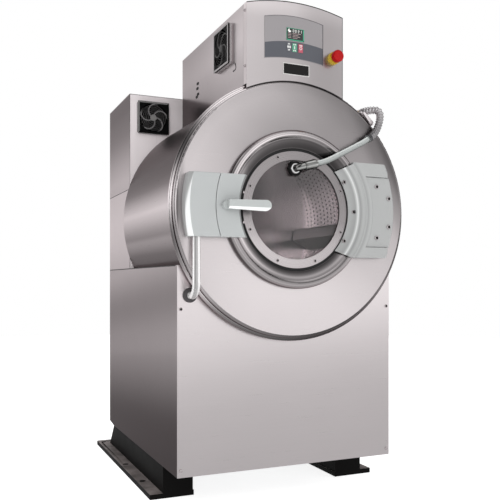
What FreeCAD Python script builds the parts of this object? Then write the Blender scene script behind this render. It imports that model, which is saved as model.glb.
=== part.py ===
"""Front-loading washer-extractor on floor rails, as an assembly of separate pieces.

Lengths are in millimetres. X runs to the machine's right, Y to its back and Z up. The origin is on the
floor, at the middle of the rectangle of the four corner anchor holes.
"""

import FreeCAD, Part
import math
import operator
import os

import Sketcher

Vector = FreeCAD.Vector

DIMENSIONS = {
    # Floor rails and their anchors
    "anchor_span": 667, "anchor_setback": 351, "anchor_step": 253, "anchor_outset": 17, "anchor_bore": 11,
    "rail_inset": 118.5, "rail_plate_width": 157, "rail_plate": 18, "rail_setback": 178,
    "rail_length": 879, "rail_web_inset": 3.5, "rail_web_width": 108, "rail_web_length": 818,
    "rail_web_slant": 83, "rail_wall": 8,
    # Sheet-metal cabinet of the base
    "sheet": 2, "seam": 0.3, "base_inset": 17.5, "base_depth": 966, "base_floor": 115, "base_drop": 186.2,
    "panel_lip": 20, "shelf_width": 32, "side_cut_length": 80, "side_cut_rise": 9, "panel_gap": 3.5,
    # Welded frame inside the base
    "beam_inset": 6, "beam_height": 70, "front_beam_at": 200, "front_beam_depth": 70,
    "middle_beam_lead": 55, "middle_beam_depth": 145, "rear_beam_setback": 116, "rear_beam_depth": 55,
    "shelf_plate": 12, "shelf_reach": 170, "leg_inset": 150, "leg_width": 60, "leg_setback": 20,
    "leg_depth": 60, "head_half": 155, "saddle_side_inset": 145, "saddle_drop": 326.2,
    "saddle_plate": 15, "saddle_inset": 8, "saddle_arch": 135, "saddle_arch_top": 450,
    # Tub, turned about the drum axis
    "drum_axis_height": 976.2, "tub_radius": 417.5, "tub_wall": 3, "tub_end": 606, "tub_back_plate": 8,
    "tub_back_bore": 90, "flange_reach": 19.5, "flange_front": -29, "flange_thickness": 15,
    "flange_round": 6, "gasket_thickness": 4, "gasket_reach": 7.5, "face_front": -44, "face_reach": 9.5,
    "face_round": 9.5, "face_plate": 3, "face_rim_width": 22, "mouth_radius": 222, "mouth_collar": 24,
    # Drum, its shaft and bearings
    "drum_clearance": 36.5, "drum_wall": 2, "drum_front": -6, "drum_back_gap": 46, "drum_back": 4,
    "drum_mouth": 232, "drum_lip": 14, "hub_radius": 80, "hub_length": 30, "spider_inset": 26,
    "spider_width": 70, "spider_thickness": 24, "shaft_radius": 35, "shaft_clearance": 21,
    "running_fit": 0.05,
    "lifter_foot": 100, "lifter_top": 40, "lifter_height": 84, "lifter_front": 14, "lifter_length": 530,
    "lifter_wall": 3,
    "housing_radius": 92, "housing_bore": 62, "housing_clearance": 24.7, "housing_flange": 150,
    "housing_flange_thickness": 16, "bearing_width": 40, "bearing_inset": 20,
    # Belt drive
    "pulley_setback": 80, "pulley_width": 60, "drum_pulley_radius": 220, "pulley_rim": 26, "pulley_web": 14,
    "pulley_hub": 62, "motor_pulley_radius": 55, "groove_depth": 11, "groove_width": 14, "belt_width": 12,
    "belt_thickness": 9, "belt_gap": 0.4, "belt_pitch": 18, "motor_height": 330, "motor_radius": 105,
    "motor_setback": 395, "motor_length": 330, "motor_shaft": 19, "motor_shaft_depth": 40, "motor_cap": 26,
    "motor_cap_radius": 88, "motor_foot_inner": 60, "motor_foot_outer": 120, "motor_foot_inset": 60,
    "motor_foot_rise": 70,
    # Rear housing
    "rear_gap": 4, "rear_seam_rise": 128.8, "rear_rise": 70.8, "wall_bore": 155,
    # Control tower
    "control_half": 180, "control_side_rise": 228.3, "control_crown": 24.5, "control_foot_rise": 273.8,
    "control_seam": -19, "rim_clearance": 3, "apron_inset": 2,
    "overlay_left": -117, "overlay_width": 219, "overlay_plate": 1, "overlay_top_rise": 204.8,
    "overlay_top_curve": 450, "overlay_bottom_rise": 64.8, "overlay_bottom_curve": 550,
    "display_left": -36, "display_width": 65, "display_rise": 123.8, "display_height": 41,
    "display_proud": 0.4, "display_depth": 2.9, "key_rise": 86.8, "key_height": 28, "key_width": 16,
    "select_left": -36, "start_left": -15, "stop_left": 8, "key_proud": 1.6, "key_flange": 1.5,
    "key_flange_gap": 0.5, "key_flange_plate": 2, "key_stem": 6, "board_left": -95, "board_width": 190,
    "board_rise": 61.8, "board_height": 130, "board_plate": 2, "board_standoff": 10.5,
    "standoff_radius": 4, "standoff_inset": 7, "estop_offset": 140.7, "estop_rise": 82.8,
    "collar_radius": 21, "collar_length": 14, "sleeve_radius": 14, "sleeve_length": 18, "estop_stem": 10,
    "estop_gap": 10, "estop_head_radius": 20, "estop_head_length": 18, "estop_round": 6, "estop_travel": 6,
    "estop_stem_margin": 3,
    # Cooling fans
    "rear_fan_size": 128, "rear_fan_inset": 94, "rear_fan_drop": 90, "side_fan_size": 138,
    "side_fan_back": 150, "side_fan_rise": 134.8, "fan_plate": 14, "fan_corner": 6, "fan_rim": 7,
    "fan_barrel_wall": 2, "fan_barrel_depth": 24, "fan_hub": 13, "fan_pin": 3, "fan_arm": 4,
    "fan_tip_gap": 2, "fan_blade": 2,
    # Door, turned about the drum axis
    "pan_radius": 262.6, "pan_back": -45.5, "bead_front": -66, "bead_corner": -57, "bead_outer": 256,
    "bead_inner": 243, "bead_foot": 236, "bead_foot_front": -60, "bead_side_round": 8, "bead_round": 5,
    "pan_sheet": 3, "well_radius": 203, "well_front": -46, "well_floor": -30, "well_round": 2,
    "pan_lip_radius": 170, "door_gasket_inner": 242, "door_gasket_outer": 254, "door_gasket_taper": 2,
    "glass_radius": 178, "glass_front": -42, "glass_thickness": 10,
    "ring_inner": 165, "ring_outer": 194.7, "ring_front": -47, "seal_front": -44,
    "ring_bolt_circle": 183, "ring_screw_radius": 5.5, "screw_head": 2.5,
    # Hinge
    "hinge_x": 320, "hinge_y": -68, "pin_radius": 8, "knuckle_radius": 22, "arm_inner": 196,
    "arm_outer": 276, "arm_front": -82, "arm_shoulder": 252, "arm_bend": 245, "arm_bend_front": -76,
    "arm_toe_front": -54, "arm_toe_back": -50, "arm_heel": 264, "arm_back": -48, "arm_seat": 0.3,
    "arm_top": 166, "arm_bottom": 157, "arm_ear": 121, "arm_corner_x": 130, "arm_corner_rise": 128,
    "arm_cut_x": 198, "arm_cut_drop": 6, "block_inner": 278, "block_outer": 370, "block_half": 120,
    "block_front": -78, "block_bevel": 8, "pin_inset": 16, "arm_screw_x": 176.4, "arm_screw_rise": 100,
    "arm_screw_mid": 213.4, "arm_screw_radius": 7, "arm_screw_seat": -55.5, "arm_screw_head": 5,
    "block_screw_near": 294, "block_screw_near_rise": 88, "block_screw_far": 343.5,
    "block_screw_far_rise": 49, "block_screw_radius": 8, "block_screw_head": 4,
    # Latch
    "latch_half": 99, "latch_front": -90, "latch_inner": 303.5, "latch_inset": 27, "latch_bevel": 12,
    "bracket_inner": 218, "bracket_outer": 302, "bracket_heel": 266, "bracket_back": -47,
    "bracket_seat": 0.3, "bracket_bevel": 8, "handle_x": -272, "spindle_radius": 5, "spindle_end": -50,
    "handle_hub": 13, "handle_front": -128, "lever_back": -108, "lever_heel": 1, "lever_length": 125,
    "lever_root": 13.5, "lever_tip": 17, "lever_edge": 7, "hub_gap": 0.3,
    # Door-lock conduit
    "conduit_inset": 42, "conduit_y": -64, "conduit_radius": 12.5, "conduit_wall": 1.5, "conduit_fall": 96,
    "conduit_bend": 40, "conduit_end": 18, "grommet_radius": 23.5, "grommet_length": 12,
    "grommet_neck": 16.5, "grommet_neck_length": 5, "fit": 0.3,
    # Spray rinse line
    "spray_x": -8, "spray_rise": 135.8, "spray_plane": -80, "nut_radius": 27, "nut_length": 12,
    "barrel_radius": 12, "barrel_end": -20, "elbow_bend": 25, "elbow_angle": 14, "elbow_length": 68,
    "elbow_sleeve": 13, "tube_radius": 9.5, "tube_wall": 1.5, "tube_collar": 13, "tube_collar_length": 14,
    "tube_straight": 103, "tube_bend_x": 236, "tube_bend_rise": 234.8, "hose_foot_x": 272,
    "hose_foot_y": -72, "hose_foot_rise": 256.8, "hose_lead": 38, "hose_end": 5,
    "hose_crest": 12.5, "hose_root": 10.8, "hose_bore": 9.2, "hose_ribs": 22, "supply_clearance": 24.2,
    "supply_radius": 10, "supply_bore": 8, "supply_tail": 30,
    "clip_radius": 14, "clip_front": 8, "clip_length": 14, "clip_plate": 6, "clip_foot_low": 50,
    "clip_foot_high": 15, "clip_foot_front": -31, "clip_foot_length": 20,
    # Water and drain
    "drain_inset": 90, "drain_y": 330, "drain_pipe": 36, "drain_bore": 32, "drain_height": 290,
    "drain_flange": 46, "drain_flange_plate": 4, "spigot_radius": 38, "spigot_length": 40,
    "drain_body": 100, "drain_body_bottom": 420, "drain_body_height": 110, "inlet_drop": 184,
    "inlet_near": 120, "inlet_far": 220, "inlet_radius": 13.2, "inlet_length": 22, "inlet_flange": 20,
    "inlet_neck": 12.5, "inlet_bore": 9, "inlet_body": 42, "inlet_body_depth": 50, "inlet_neck_length": 30,
    # Cabinet screws
    "panel_screw_inset": 12, "panel_screw_drop": 140, "panel_screw_rise": 22.5, "panel_screw_radius": 6,
    "panel_screw_head": 3, "tray_screw_y": -31, "tray_high_rise": 204.3, "tray_low_rise": 23.8,
    "tray_screw_radius": 5,
}

OPERATIONS = {"+": operator.add, "-": operator.sub, "*": operator.mul, "/": operator.truediv}


class Size:
    """A length that carries its present value and the sheet formula that it comes from."""

    def __init__(self, value, formula):
        self.value = float(value)
        self.formula = formula

    def __add__(self, other):
        return combine(self, "+", other)

    def __radd__(self, other):
        return combine(other, "+", self)

    def __sub__(self, other):
        return combine(self, "-", other)

    def __rsub__(self, other):
        return combine(other, "-", self)

    def __mul__(self, other):
        return combine(self, "*", other)

    def __rmul__(self, other):
        return combine(other, "*", self)

    def __truediv__(self, other):
        return combine(self, "/", other)

    def __neg__(self):
        return combine(0, "-", self)


def as_size(number):
    """Return a Size for a number, or the Size itself."""
    return number if isinstance(number, Size) else Size(number, f"({float(number)})")


def combine(left, sign, right):
    """Join two sizes into one, by value and by formula."""
    left, right = as_size(left), as_size(right)
    value = OPERATIONS[sign](left.value, right.value)
    return Size(value, f"({left.formula} {sign} {right.formula})")


class Sheet:
    """The spreadsheet of driving dimensions, read by name."""

    def __init__(self, document, dimensions):
        self.cells = document.addObject("Spreadsheet::Sheet", "Sizes")
        for row, (name, value) in enumerate(dimensions.items(), start=1):
            self.cells.set(f"A{row}", name)
            self.cells.set(f"B{row}", str(value))
            self.cells.setAlias(f"B{row}", name)
        document.recompute()

    def __getattr__(self, name):
        return Size(self.cells.get(name), f"Sizes.{name}")


doc = FreeCAD.newDocument("WasherExtractor")
s = Sheet(doc, DIMENSIONS)
pieces = {}

# The plane of the base's front panel, from which the depths of the pieces are measured
front = -(s.anchor_span / 2 + s.anchor_setback)
axis_z = s.drum_axis_height

# Sizes that follow the tub's own: radii, widths, heights above its rim and depths behind it
flange_radius = s.tub_radius + s.flange_reach
gasket_radius = s.tub_radius + s.gasket_reach
face_radius = s.tub_radius + s.face_reach
drum_radius = s.tub_radius - s.drum_clearance
latch_outer = face_radius - s.latch_inset
half = s.tub_radius - s.base_inset
base_width = 2 * half
base_top = axis_z - s.base_drop
rim_top = axis_z + flange_radius
rear_top = rim_top + s.rear_rise
drum_end = s.tub_end - s.drum_back_gap
rear_front = s.tub_end + s.rear_gap
shaft_end = s.base_depth - s.shaft_clearance
pulley_front = shaft_end - s.pulley_setback

# The end of the water supply, just outside the flange
SUPPLY_ANGLE = math.radians(51.67)
supply_reach = flange_radius + s.supply_clearance
supply_x = supply_reach * math.cos(SUPPLY_ANGLE)
supply_height = axis_z + supply_reach * math.sin(SUPPLY_ANGLE)

TURNS = {
    "x": FreeCAD.Rotation(Vector(0, 1, 0), 90),
    "y": FreeCAD.Rotation(Vector(1, 0, 0), -90),
    "z": FreeCAD.Rotation(),
}


# Helpers for bound shapes

def bind(item, **sizes):
    """Bind properties of a document object to their formulas."""
    for name, size in sizes.items():
        item.setExpression(name, as_size(size).formula)


def place(item, x, y, z, turn=FreeCAD.Rotation()):
    """Put an object at x, y, z, with each coordinate bound to its formula."""
    corner = [as_size(value) for value in (x, y, z)]
    item.Placement = FreeCAD.Placement(Vector(*[size.value for size in corner]), turn)
    for name, size in zip("xyz", corner):
        item.setExpression(f"Placement.Base.{name}", size.formula)


def box(x, y, z, length, width, height):
    """A block from its lowest corner."""
    item = doc.addObject("Part::Box", "Block")
    bind(item, Length=length, Width=width, Height=height)
    place(item, x, y, z)
    return item


def rod(axis, x, y, z, radius, length):
    """A cylinder that starts at x, y, z and runs along +X, +Y or +Z."""
    item = doc.addObject("Part::Cylinder", "Rod")
    bind(item, Radius=radius, Height=length)
    place(item, x, y, z, TURNS[axis])
    return item


def fuse(*items):
    """One solid from several that meet."""
    item = doc.addObject("Part::MultiFuse", "Joined")
    item.Shapes = list(items)
    item.Refine = True
    return item


def common(*items):
    """The space that all the shapes share."""
    item = doc.addObject("Part::MultiCommon", "Shared")
    item.Shapes = list(items)
    return item


def cut(base, *tools):
    """The base without the tools."""
    for tool in tools:
        item = doc.addObject("Part::Cut", "Cut")
        item.Base = base
        item.Tool = tool
        base = item
    return base


def group(*items):
    """Separate solids kept together."""
    item = doc.addObject("Part::Compound", "Group")
    item.Links = list(items)
    return item


def solid(shape):
    """A shape made with Part's own functions, as a document object."""
    item = doc.addObject("Part::Feature", "Solid")
    item.Shape = shape
    return item


def name(label, item):
    """Label a finished piece and keep it for the files."""
    item.Label = label
    pieces[label] = item
    return item


def side_box(side, inner, outer, y, z, width, height):
    """A block between two distances from the middle plane, on the left (-1) or the right (+1)."""
    low = inner if side > 0 else -outer
    return box(low, y, z, outer - inner, width, height)


def sketch_on(body, role, points):
    """A closed outline on one of the body's own planes, with every corner bound."""
    sketch = body.newObject("Sketcher::SketchObject", "Outline")
    plane = next(item for item in body.Origin.OriginFeatures if item.Role == role)
    sketch.AttachmentSupport = [(plane, "")]
    sketch.MapMode = "FlatFace"
    corners = [(as_size(across), as_size(up)) for across, up in points]
    count = len(corners)
    for index, (across, up) in enumerate(corners):
        next_across, next_up = corners[(index + 1) % count]
        start = Vector(across.value, up.value, 0)
        end = Vector(next_across.value, next_up.value, 0)
        sketch.addGeometry(Part.LineSegment(start, end), False)
    for index in range(count):
        sketch.addConstraint(Sketcher.Constraint("Coincident", index, 2, (index + 1) % count, 1))
    for index, corner in enumerate(corners):
        for kind, size in zip(("DistanceX", "DistanceY"), corner):
            number = sketch.addConstraint(Sketcher.Constraint(kind, index, 1, size.value))
            sketch.setExpression(f"Constraints[{number}]", size.formula)
    return sketch


def ring_edges(shape, radius, depth):
    """Names of the circular edges with this radius at this depth along Y."""
    names = []
    for index, edge in enumerate(shape.Edges, start=1):
        if isinstance(edge.Curve, Part.Circle):
            same_size = abs(edge.Curve.Radius - radius) < 0.001
            if same_size and abs(edge.Curve.Center.y - depth) < 0.001:
                names.append(f"Edge{index}")
    return names


def turned(profile, x=0, z=axis_z, rounds=()):
    """A ring turned about an axis along Y, from (radius, depth) corners, with some corners rounded."""
    body = doc.addObject("PartDesign::Body", "Turned")
    sketch = sketch_on(body, "XY_Plane", profile)
    turn = body.newObject("PartDesign::Revolution", "Turn")
    turn.Profile = sketch
    turn.ReferenceAxis = (sketch, ["V_Axis"])
    turn.Angle = 360
    tip = turn
    for radius, depth, size in rounds:
        doc.recompute()
        fillet = body.newObject("PartDesign::Fillet", "Round")
        fillet.Base = (tip, ring_edges(tip.Shape, as_size(radius).value, as_size(depth).value))
        bind(fillet, Radius=size)
        tip = fillet
    place(body, x, front, z)
    return body


def plate_across(points, depth, thickness, z=axis_z):
    """A plate from an outline of (x, rise) corners, between two depths along Y."""
    body = doc.addObject("PartDesign::Body", "Plate")
    pad = body.newObject("PartDesign::Pad", "Pad")
    pad.Profile = sketch_on(body, "XZ_Plane", points)
    pad.Reversed = True
    bind(pad, Length=thickness)
    body.Tip = pad
    place(body, 0, front + depth, z)
    return body


def plate_along(points, x, thickness):
    """A plate from an outline of (depth, height) corners, that starts at x."""
    body = doc.addObject("PartDesign::Body", "Plate")
    pad = body.newObject("PartDesign::Pad", "Pad")
    pad.Profile = sketch_on(body, "YZ_Plane", points)
    bind(pad, Length=thickness)
    body.Tip = pad
    place(body, x, front, 0)
    return body


def axis_rod(radius, depth, length):
    """A cylinder on the drum axis."""
    return rod("y", 0, front + depth, axis_z, radius, length)


def rounded_path(points, bend=None):
    """Straight runs through the points, joined by tangent arcs; prints the arcs' radii."""
    share = 0.45
    edges = []
    start = points[0]
    for before, corner, after in zip(points, points[1:], points[2:]):
        into = (corner - before).normalize()
        out = (after - corner).normalize()
        half = into.getAngle(out) / 2
        reach = share * min((corner - before).Length, (after - corner).Length)
        radius = bend or reach / math.tan(half)
        reach = radius * math.tan(half)
        first, last = corner - into * reach, corner + out * reach
        inward = (out - into).normalize()
        middle = corner + inward * (radius / math.cos(half) - radius)
        edges.append(Part.LineSegment(start, first).toShape())
        edges.append(Part.Arc(first, middle, last).toShape())
        print("arc radius", round(radius, 1))
        start = last
    edges.append(Part.LineSegment(start, points[-1]).toShape())
    return Part.Wire(edges)


def pipe(path, radius):
    """A round bar along a path, with its volume compared with section times length."""
    start = path.Edges[0]
    direction = start.tangentAt(start.FirstParameter)
    circle = Part.Wire([Part.Circle(start.valueAt(start.FirstParameter), direction, radius).toShape()])
    bar = path.makePipeShell([circle], True, False)
    expected = math.pi * radius ** 2 * path.Length
    if abs(bar.Volume - expected) > 0.01 * expected:
        raise RuntimeError("a pipe does not fill its path")
    return bar


# Floor rails

def base_rail(side):
    """One floor rail: anchor plate, hollow web with a slanted rear end, three anchor holes."""
    start = s.rail_setback
    plate_inner = half - s.rail_inset
    web_inner = plate_inner + s.rail_web_inset
    web_outer = web_inner + s.rail_web_width
    rear = start + s.rail_web_length
    plate = side_box(side, plate_inner, plate_inner + s.rail_plate_width, front + start, 0, s.rail_length,
                     s.rail_plate)
    outline = [(start, s.rail_plate), (rear, s.rail_plate), (rear - s.rail_web_slant, s.base_floor),
               (start, s.base_floor)]
    web = plate_along(outline, web_inner if side > 0 else -web_outer, s.rail_web_width)
    hollow = side_box(side, web_inner + s.rail_wall, web_outer - s.rail_wall, front + start + s.rail_wall,
                      s.rail_plate, s.rail_web_length, s.base_floor - s.rail_plate - s.rail_wall)
    anchors = [rod("z", side * (half + s.anchor_outset), front + depth, -1, s.anchor_bore, s.rail_plate + 2)
               for depth in (s.anchor_setback, s.anchor_setback + s.anchor_step,
                             s.anchor_setback + s.anchor_span)]
    return cut(fuse(plate, web), hollow, *anchors)


name("left_base_rail", base_rail(-1))
name("right_base_rail", base_rail(1))


# Welded frame

beam_top = s.base_floor + s.beam_height
beam_reach = half - s.sheet - s.beam_inset
middle_beam_at = rear_front - s.middle_beam_lead
rear_beam_at = s.base_depth - s.rear_beam_setback
leg_at = rear_front + s.leg_setback
leg_outer = half - s.leg_inset
saddle_reach = half - s.saddle_side_inset
head_top = axis_z + s.head_half
shelf_top = beam_top + s.shelf_plate


def cross_beam(depth, width):
    """A beam across both rails."""
    return box(-beam_reach, front + depth, s.base_floor, 2 * beam_reach, width, s.beam_height)


def saddle(depth):
    """A plate under the tub, cut to its round and arched over the motor."""
    blank = box(-saddle_reach, front + depth, beam_top, 2 * saddle_reach, s.saddle_plate,
                axis_z - s.saddle_drop - beam_top)
    arch = box(-s.saddle_arch, front + depth - 1, shelf_top, 2 * s.saddle_arch, s.saddle_plate + 2,
               s.saddle_arch_top - shelf_top)
    return cut(blank, axis_rod(s.tub_radius + s.fit, depth - 1, s.saddle_plate + 2), arch)


def frame_leg(side):
    """A leg that carries the bearing head."""
    return side_box(side, leg_outer - s.leg_width, leg_outer, front + leg_at, beam_top, s.leg_depth,
                    head_top - beam_top)


bearing_head = box(-leg_outer, front + leg_at, axis_z - s.head_half, 2 * leg_outer, s.leg_depth,
                   2 * s.head_half)
motor_shelf = box(-s.shelf_reach, front + s.front_beam_at, beam_top, 2 * s.shelf_reach,
                  rear_beam_at + s.rear_beam_depth - s.front_beam_at, s.shelf_plate)
frame_blank = fuse(cross_beam(s.front_beam_at, s.front_beam_depth),
                   cross_beam(middle_beam_at, s.middle_beam_depth),
                   cross_beam(rear_beam_at, s.rear_beam_depth), motor_shelf,
                   saddle(s.front_beam_at + s.saddle_inset), saddle(middle_beam_at + s.saddle_inset),
                   frame_leg(-1), frame_leg(1), bearing_head)
name("main_frame", cut(frame_blank, axis_rod(s.housing_radius + s.fit, leg_at - 1, s.leg_depth + 2)))


# Cabinet of the base

base_height = base_top - s.base_floor
inside = half - s.sheet
conduit_x = s.conduit_inset - latch_outer
conduit_foot = base_top - s.conduit_fall
panel_hole = rod("y", conduit_x, front - 1, conduit_foot, s.grommet_neck + s.fit, s.sheet + 2)
front_lips = [side_box(side, inside - s.seam - s.sheet, inside - s.seam, front + s.sheet, s.base_floor,
                       s.panel_lip, base_height) for side in (-1, 1)]
front_blank = fuse(box(-half, front, s.base_floor, base_width, s.sheet, base_height), *front_lips)
name("base_front_panel", cut(front_blank, axis_rod(s.tub_radius + s.panel_gap, -1, s.panel_lip + 10),
                             panel_hole))


def side_panel(side):
    """A side of the base, with a folded shelf along its top that closes the gap to the tub."""
    start = s.sheet + s.seam
    end = s.base_depth
    outline = [(start, s.base_floor), (end - s.side_cut_length, s.base_floor),
               (end, s.base_floor + s.side_cut_rise), (end, base_top), (start, base_top)]
    wall = plate_along(outline, inside if side > 0 else -half, s.sheet)
    fold = side_box(side, inside - s.shelf_width, inside, front + start + s.panel_lip, base_top - s.sheet,
                    s.tub_end - start - s.panel_lip, s.sheet)
    return cut(fuse(wall, fold), axis_rod(s.tub_radius + s.fit, 0, s.tub_end))


name("left_side_panel", side_panel(-1))
name("right_side_panel", side_panel(1))

back_half = inside - s.seam
back_bottom = s.base_floor + s.side_cut_rise
drain_x = half - s.drain_inset
drain_hole = rod("y", drain_x, front + s.base_depth - s.sheet - 1, s.drain_height, s.drain_pipe + s.fit,
                 s.sheet + 2)
name("base_back_panel", cut(box(-back_half, front + s.base_depth - s.sheet, back_bottom, 2 * back_half,
                                s.sheet, base_top - back_bottom), drain_hole))


# Rear housing

rear_depth = s.base_depth - rear_front


def wrap(bottom, height):
    """Left, back and right walls of the rear housing between two heights."""
    outer = box(-half, front + rear_front, bottom, base_width, rear_depth, height)
    inner = box(-inside, front + rear_front - 1, bottom - 1, 2 * inside, rear_depth + 1 - s.sheet,
                height + 2)
    return cut(outer, inner)


rear_seam = axis_z + s.rear_seam_rise
name("rear_housing_skirt", wrap(base_top + s.seam, rear_seam - base_top - s.seam))
hood_bottom = rear_seam + s.seam
inlet_height = rear_top - s.inlet_drop
hood_roof = box(-half, front + rear_front, rear_top - s.sheet, base_width, rear_depth, s.sheet)
inlet_holes = [rod("y", x, front + s.base_depth - s.sheet - 1, inlet_height, s.inlet_neck + s.fit,
                   s.sheet + 2) for x in (s.inlet_near, s.inlet_far)]
name("rear_housing_hood", cut(fuse(wrap(hood_bottom, rear_top - hood_bottom), hood_roof), *inlet_holes))

wall_top = rear_top - s.sheet - s.seam
rear_wall = box(-back_half, front + rear_front, base_top, 2 * back_half, s.sheet, wall_top - base_top)
rear_fan_bore = s.rear_fan_size / 2 - s.fan_rim
rear_fan_x = s.rear_fan_inset - half
rear_fan_height = rear_top - s.rear_fan_drop
supply_hole = rod("y", supply_x, front + rear_front - 1, supply_height, s.supply_radius + s.fit,
                  s.sheet + 2)
rear_fan_hole = rod("y", rear_fan_x, front + rear_front - 1, rear_fan_height,
                    rear_fan_bore + s.fan_barrel_wall + s.fit, s.sheet + 2)
name("rear_housing_front", cut(rear_wall, axis_rod(s.wall_bore, rear_front - 1, s.sheet + 2), supply_hole,
                               rear_fan_hole))


# Tub

flange_back = s.flange_front + s.flange_thickness
tub_inside = s.tub_radius - s.tub_wall
tub_profile = [(tub_inside, s.flange_front), (flange_radius, s.flange_front),
               (flange_radius, flange_back), (s.tub_radius, flange_back), (s.tub_radius, s.tub_end),
               (s.tub_back_bore, s.tub_end), (s.tub_back_bore, s.tub_end - s.tub_back_plate),
               (tub_inside, s.tub_end - s.tub_back_plate)]
tub = turned(tub_profile, rounds=[(flange_radius, s.flange_front, s.flange_round),
                                  (flange_radius, flange_back, s.flange_round)])
sump_hole = rod("z", drain_x, front + s.drain_y, axis_z - s.tub_radius, s.drain_bore, s.tub_radius)
name("tub_shell", cut(tub, sump_hole))

gasket_front = s.flange_front - s.gasket_thickness
name("rim_gasket", turned([(tub_inside, gasket_front), (gasket_radius, gasket_front),
                           (gasket_radius, s.flange_front), (tub_inside, s.flange_front)]))

face_back = s.face_front + s.face_plate
rim_inner = face_radius - s.face_rim_width
mouth_outer = s.mouth_radius + s.face_plate
face_profile = [(s.mouth_radius, s.face_front), (face_radius, s.face_front),
                (face_radius, gasket_front), (rim_inner, gasket_front), (rim_inner, face_back),
                (mouth_outer, face_back), (mouth_outer, s.face_front + s.mouth_collar),
                (s.mouth_radius, s.face_front + s.mouth_collar)]
name("tub_front_plate", turned(face_profile, rounds=[(face_radius, s.face_front, s.face_round)]))


# Drum, shaft and bearings

drum_inside = drum_radius - s.drum_wall
lip_outer = s.drum_mouth + s.drum_wall
drum_profile = [(s.drum_mouth, s.drum_front), (drum_radius, s.drum_front), (drum_radius, drum_end),
                (s.shaft_radius, drum_end), (s.shaft_radius, drum_end - s.drum_back),
                (drum_inside, drum_end - s.drum_back), (drum_inside, s.drum_front + s.drum_wall),
                (lip_outer, s.drum_front + s.drum_wall), (lip_outer, s.drum_front + s.drum_lip),
                (s.drum_mouth, s.drum_front + s.drum_lip)]
name("drum_shell", turned(drum_profile))

LIFTERS = 3
FIRST_LIFTER = 98


def lifter_core(number, inset):
    """The space of one lifting rib, from its wide foot to its narrow top, drawn in by inset."""
    foot = drum_inside + s.drum_wall
    top = drum_inside - s.lifter_height + inset
    foot_half = s.lifter_foot / 2 - inset
    top_half = s.lifter_top / 2 - inset
    outline = [(-foot_half, foot), (foot_half, foot), (top_half, top), (-top_half, top)]
    core = plate_across(outline, s.lifter_front + inset, s.lifter_length - 2 * inset)
    core.Placement.Rotation = FreeCAD.Rotation(Vector(0, 1, 0), FIRST_LIFTER + 360 / LIFTERS * number)
    return core


def lifter(number):
    """One lifting rib, a hollow pressing that is open towards the drum."""
    shell = cut(lifter_core(number, 0), lifter_core(number, s.lifter_wall))
    return common(shell, axis_rod(drum_inside - s.running_fit, s.lifter_front - 1, s.lifter_length + 2))


name("drum_lifters", group(*[lifter(number) for number in range(LIFTERS)]))


def spider_arm(number):
    """One arm of the spider that carries the drum's back."""
    reach = drum_radius - s.spider_inset
    outline = [(-s.spider_width / 2, 0), (s.spider_width / 2, 0), (s.spider_width / 3, reach),
               (-s.spider_width / 3, reach)]
    arm = plate_across(outline, drum_end, s.spider_thickness)
    arm.Placement.Rotation = FreeCAD.Rotation(Vector(0, 1, 0), 360 / LIFTERS * number)
    return arm


shaft_start = drum_end - s.drum_back
name("drum_trunnion", fuse(axis_rod(s.hub_radius, drum_end, s.hub_length),
                           axis_rod(s.shaft_radius - s.running_fit, shaft_start, shaft_end - shaft_start),
                           *[spider_arm(number) for number in range(LIFTERS)]))

housing_front = s.tub_end + s.fit
housing_end = pulley_front - s.housing_clearance
flange_end = housing_front + s.housing_flange_thickness
name("bearing_housing", turned([(s.housing_bore, housing_front), (s.housing_flange, housing_front),
                                (s.housing_flange, flange_end), (s.housing_radius, flange_end),
                                (s.housing_radius, housing_end), (s.housing_bore, housing_end)]))


def bearing(depth):
    """One shaft bearing, as a ring."""
    outer = s.housing_bore - s.running_fit
    return turned([(s.shaft_radius, depth), (outer, depth), (outer, depth + s.bearing_width),
                   (s.shaft_radius, depth + s.bearing_width)])


name("shaft_bearings", group(bearing(housing_front + s.bearing_inset),
                             bearing(housing_end - s.bearing_inset - s.bearing_width)))


# Belt drive

BELTS = 3
pulley_end = pulley_front + s.pulley_width
pulley_middle = pulley_front + s.pulley_width / 2


def belt_depth(number):
    """Where the middle of a belt lies along the shafts."""
    return pulley_middle + s.belt_pitch * (number - (BELTS - 1) / 2)


def grooved_rim(radius):
    """Corners of a pulley's outer face from front to back, with one square groove for each belt."""
    corners = [(radius, pulley_front)]
    for number in range(BELTS):
        low = belt_depth(number) - s.groove_width / 2
        high = belt_depth(number) + s.groove_width / 2
        floor = radius - s.groove_depth
        corners += [(radius, low), (floor, low), (floor, high), (radius, high)]
    return corners + [(radius, pulley_end)]


def drum_pulley_profile():
    """The big pulley: hub on the shaft, thin web, grooved rim."""
    rim = s.drum_pulley_radius - s.pulley_rim
    web_front = pulley_middle - s.pulley_web / 2
    web_back = pulley_middle + s.pulley_web / 2
    inner = [(rim, pulley_end), (rim, web_back), (s.pulley_hub, web_back), (s.pulley_hub, pulley_end),
             (s.shaft_radius, pulley_end), (s.shaft_radius, pulley_front),
             (s.pulley_hub, pulley_front), (s.pulley_hub, web_front), (rim, web_front),
             (rim, pulley_front)]
    return grooved_rim(s.drum_pulley_radius) + inner


name("drum_pulley", turned(drum_pulley_profile()))

motor_front = pulley_front - s.motor_setback
motor_end = motor_front + s.motor_length
shaft_entry = motor_end - s.motor_shaft_depth
motor_pulley_profile = [(0, shaft_entry), (s.motor_shaft, shaft_entry), (s.motor_shaft, pulley_front)]
motor_pulley_profile += grooved_rim(s.motor_pulley_radius) + [(0, pulley_end)]
name("motor_pulley", turned(motor_pulley_profile, z=s.motor_height))


def motor_foot(side):
    """One foot of the motor, on the shelf."""
    return side_box(side, s.motor_foot_inner, s.motor_foot_outer,
                    front + motor_front + s.motor_foot_inset, shelf_top,
                    s.motor_length - 2 * s.motor_foot_inset, s.motor_foot_rise)


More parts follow.
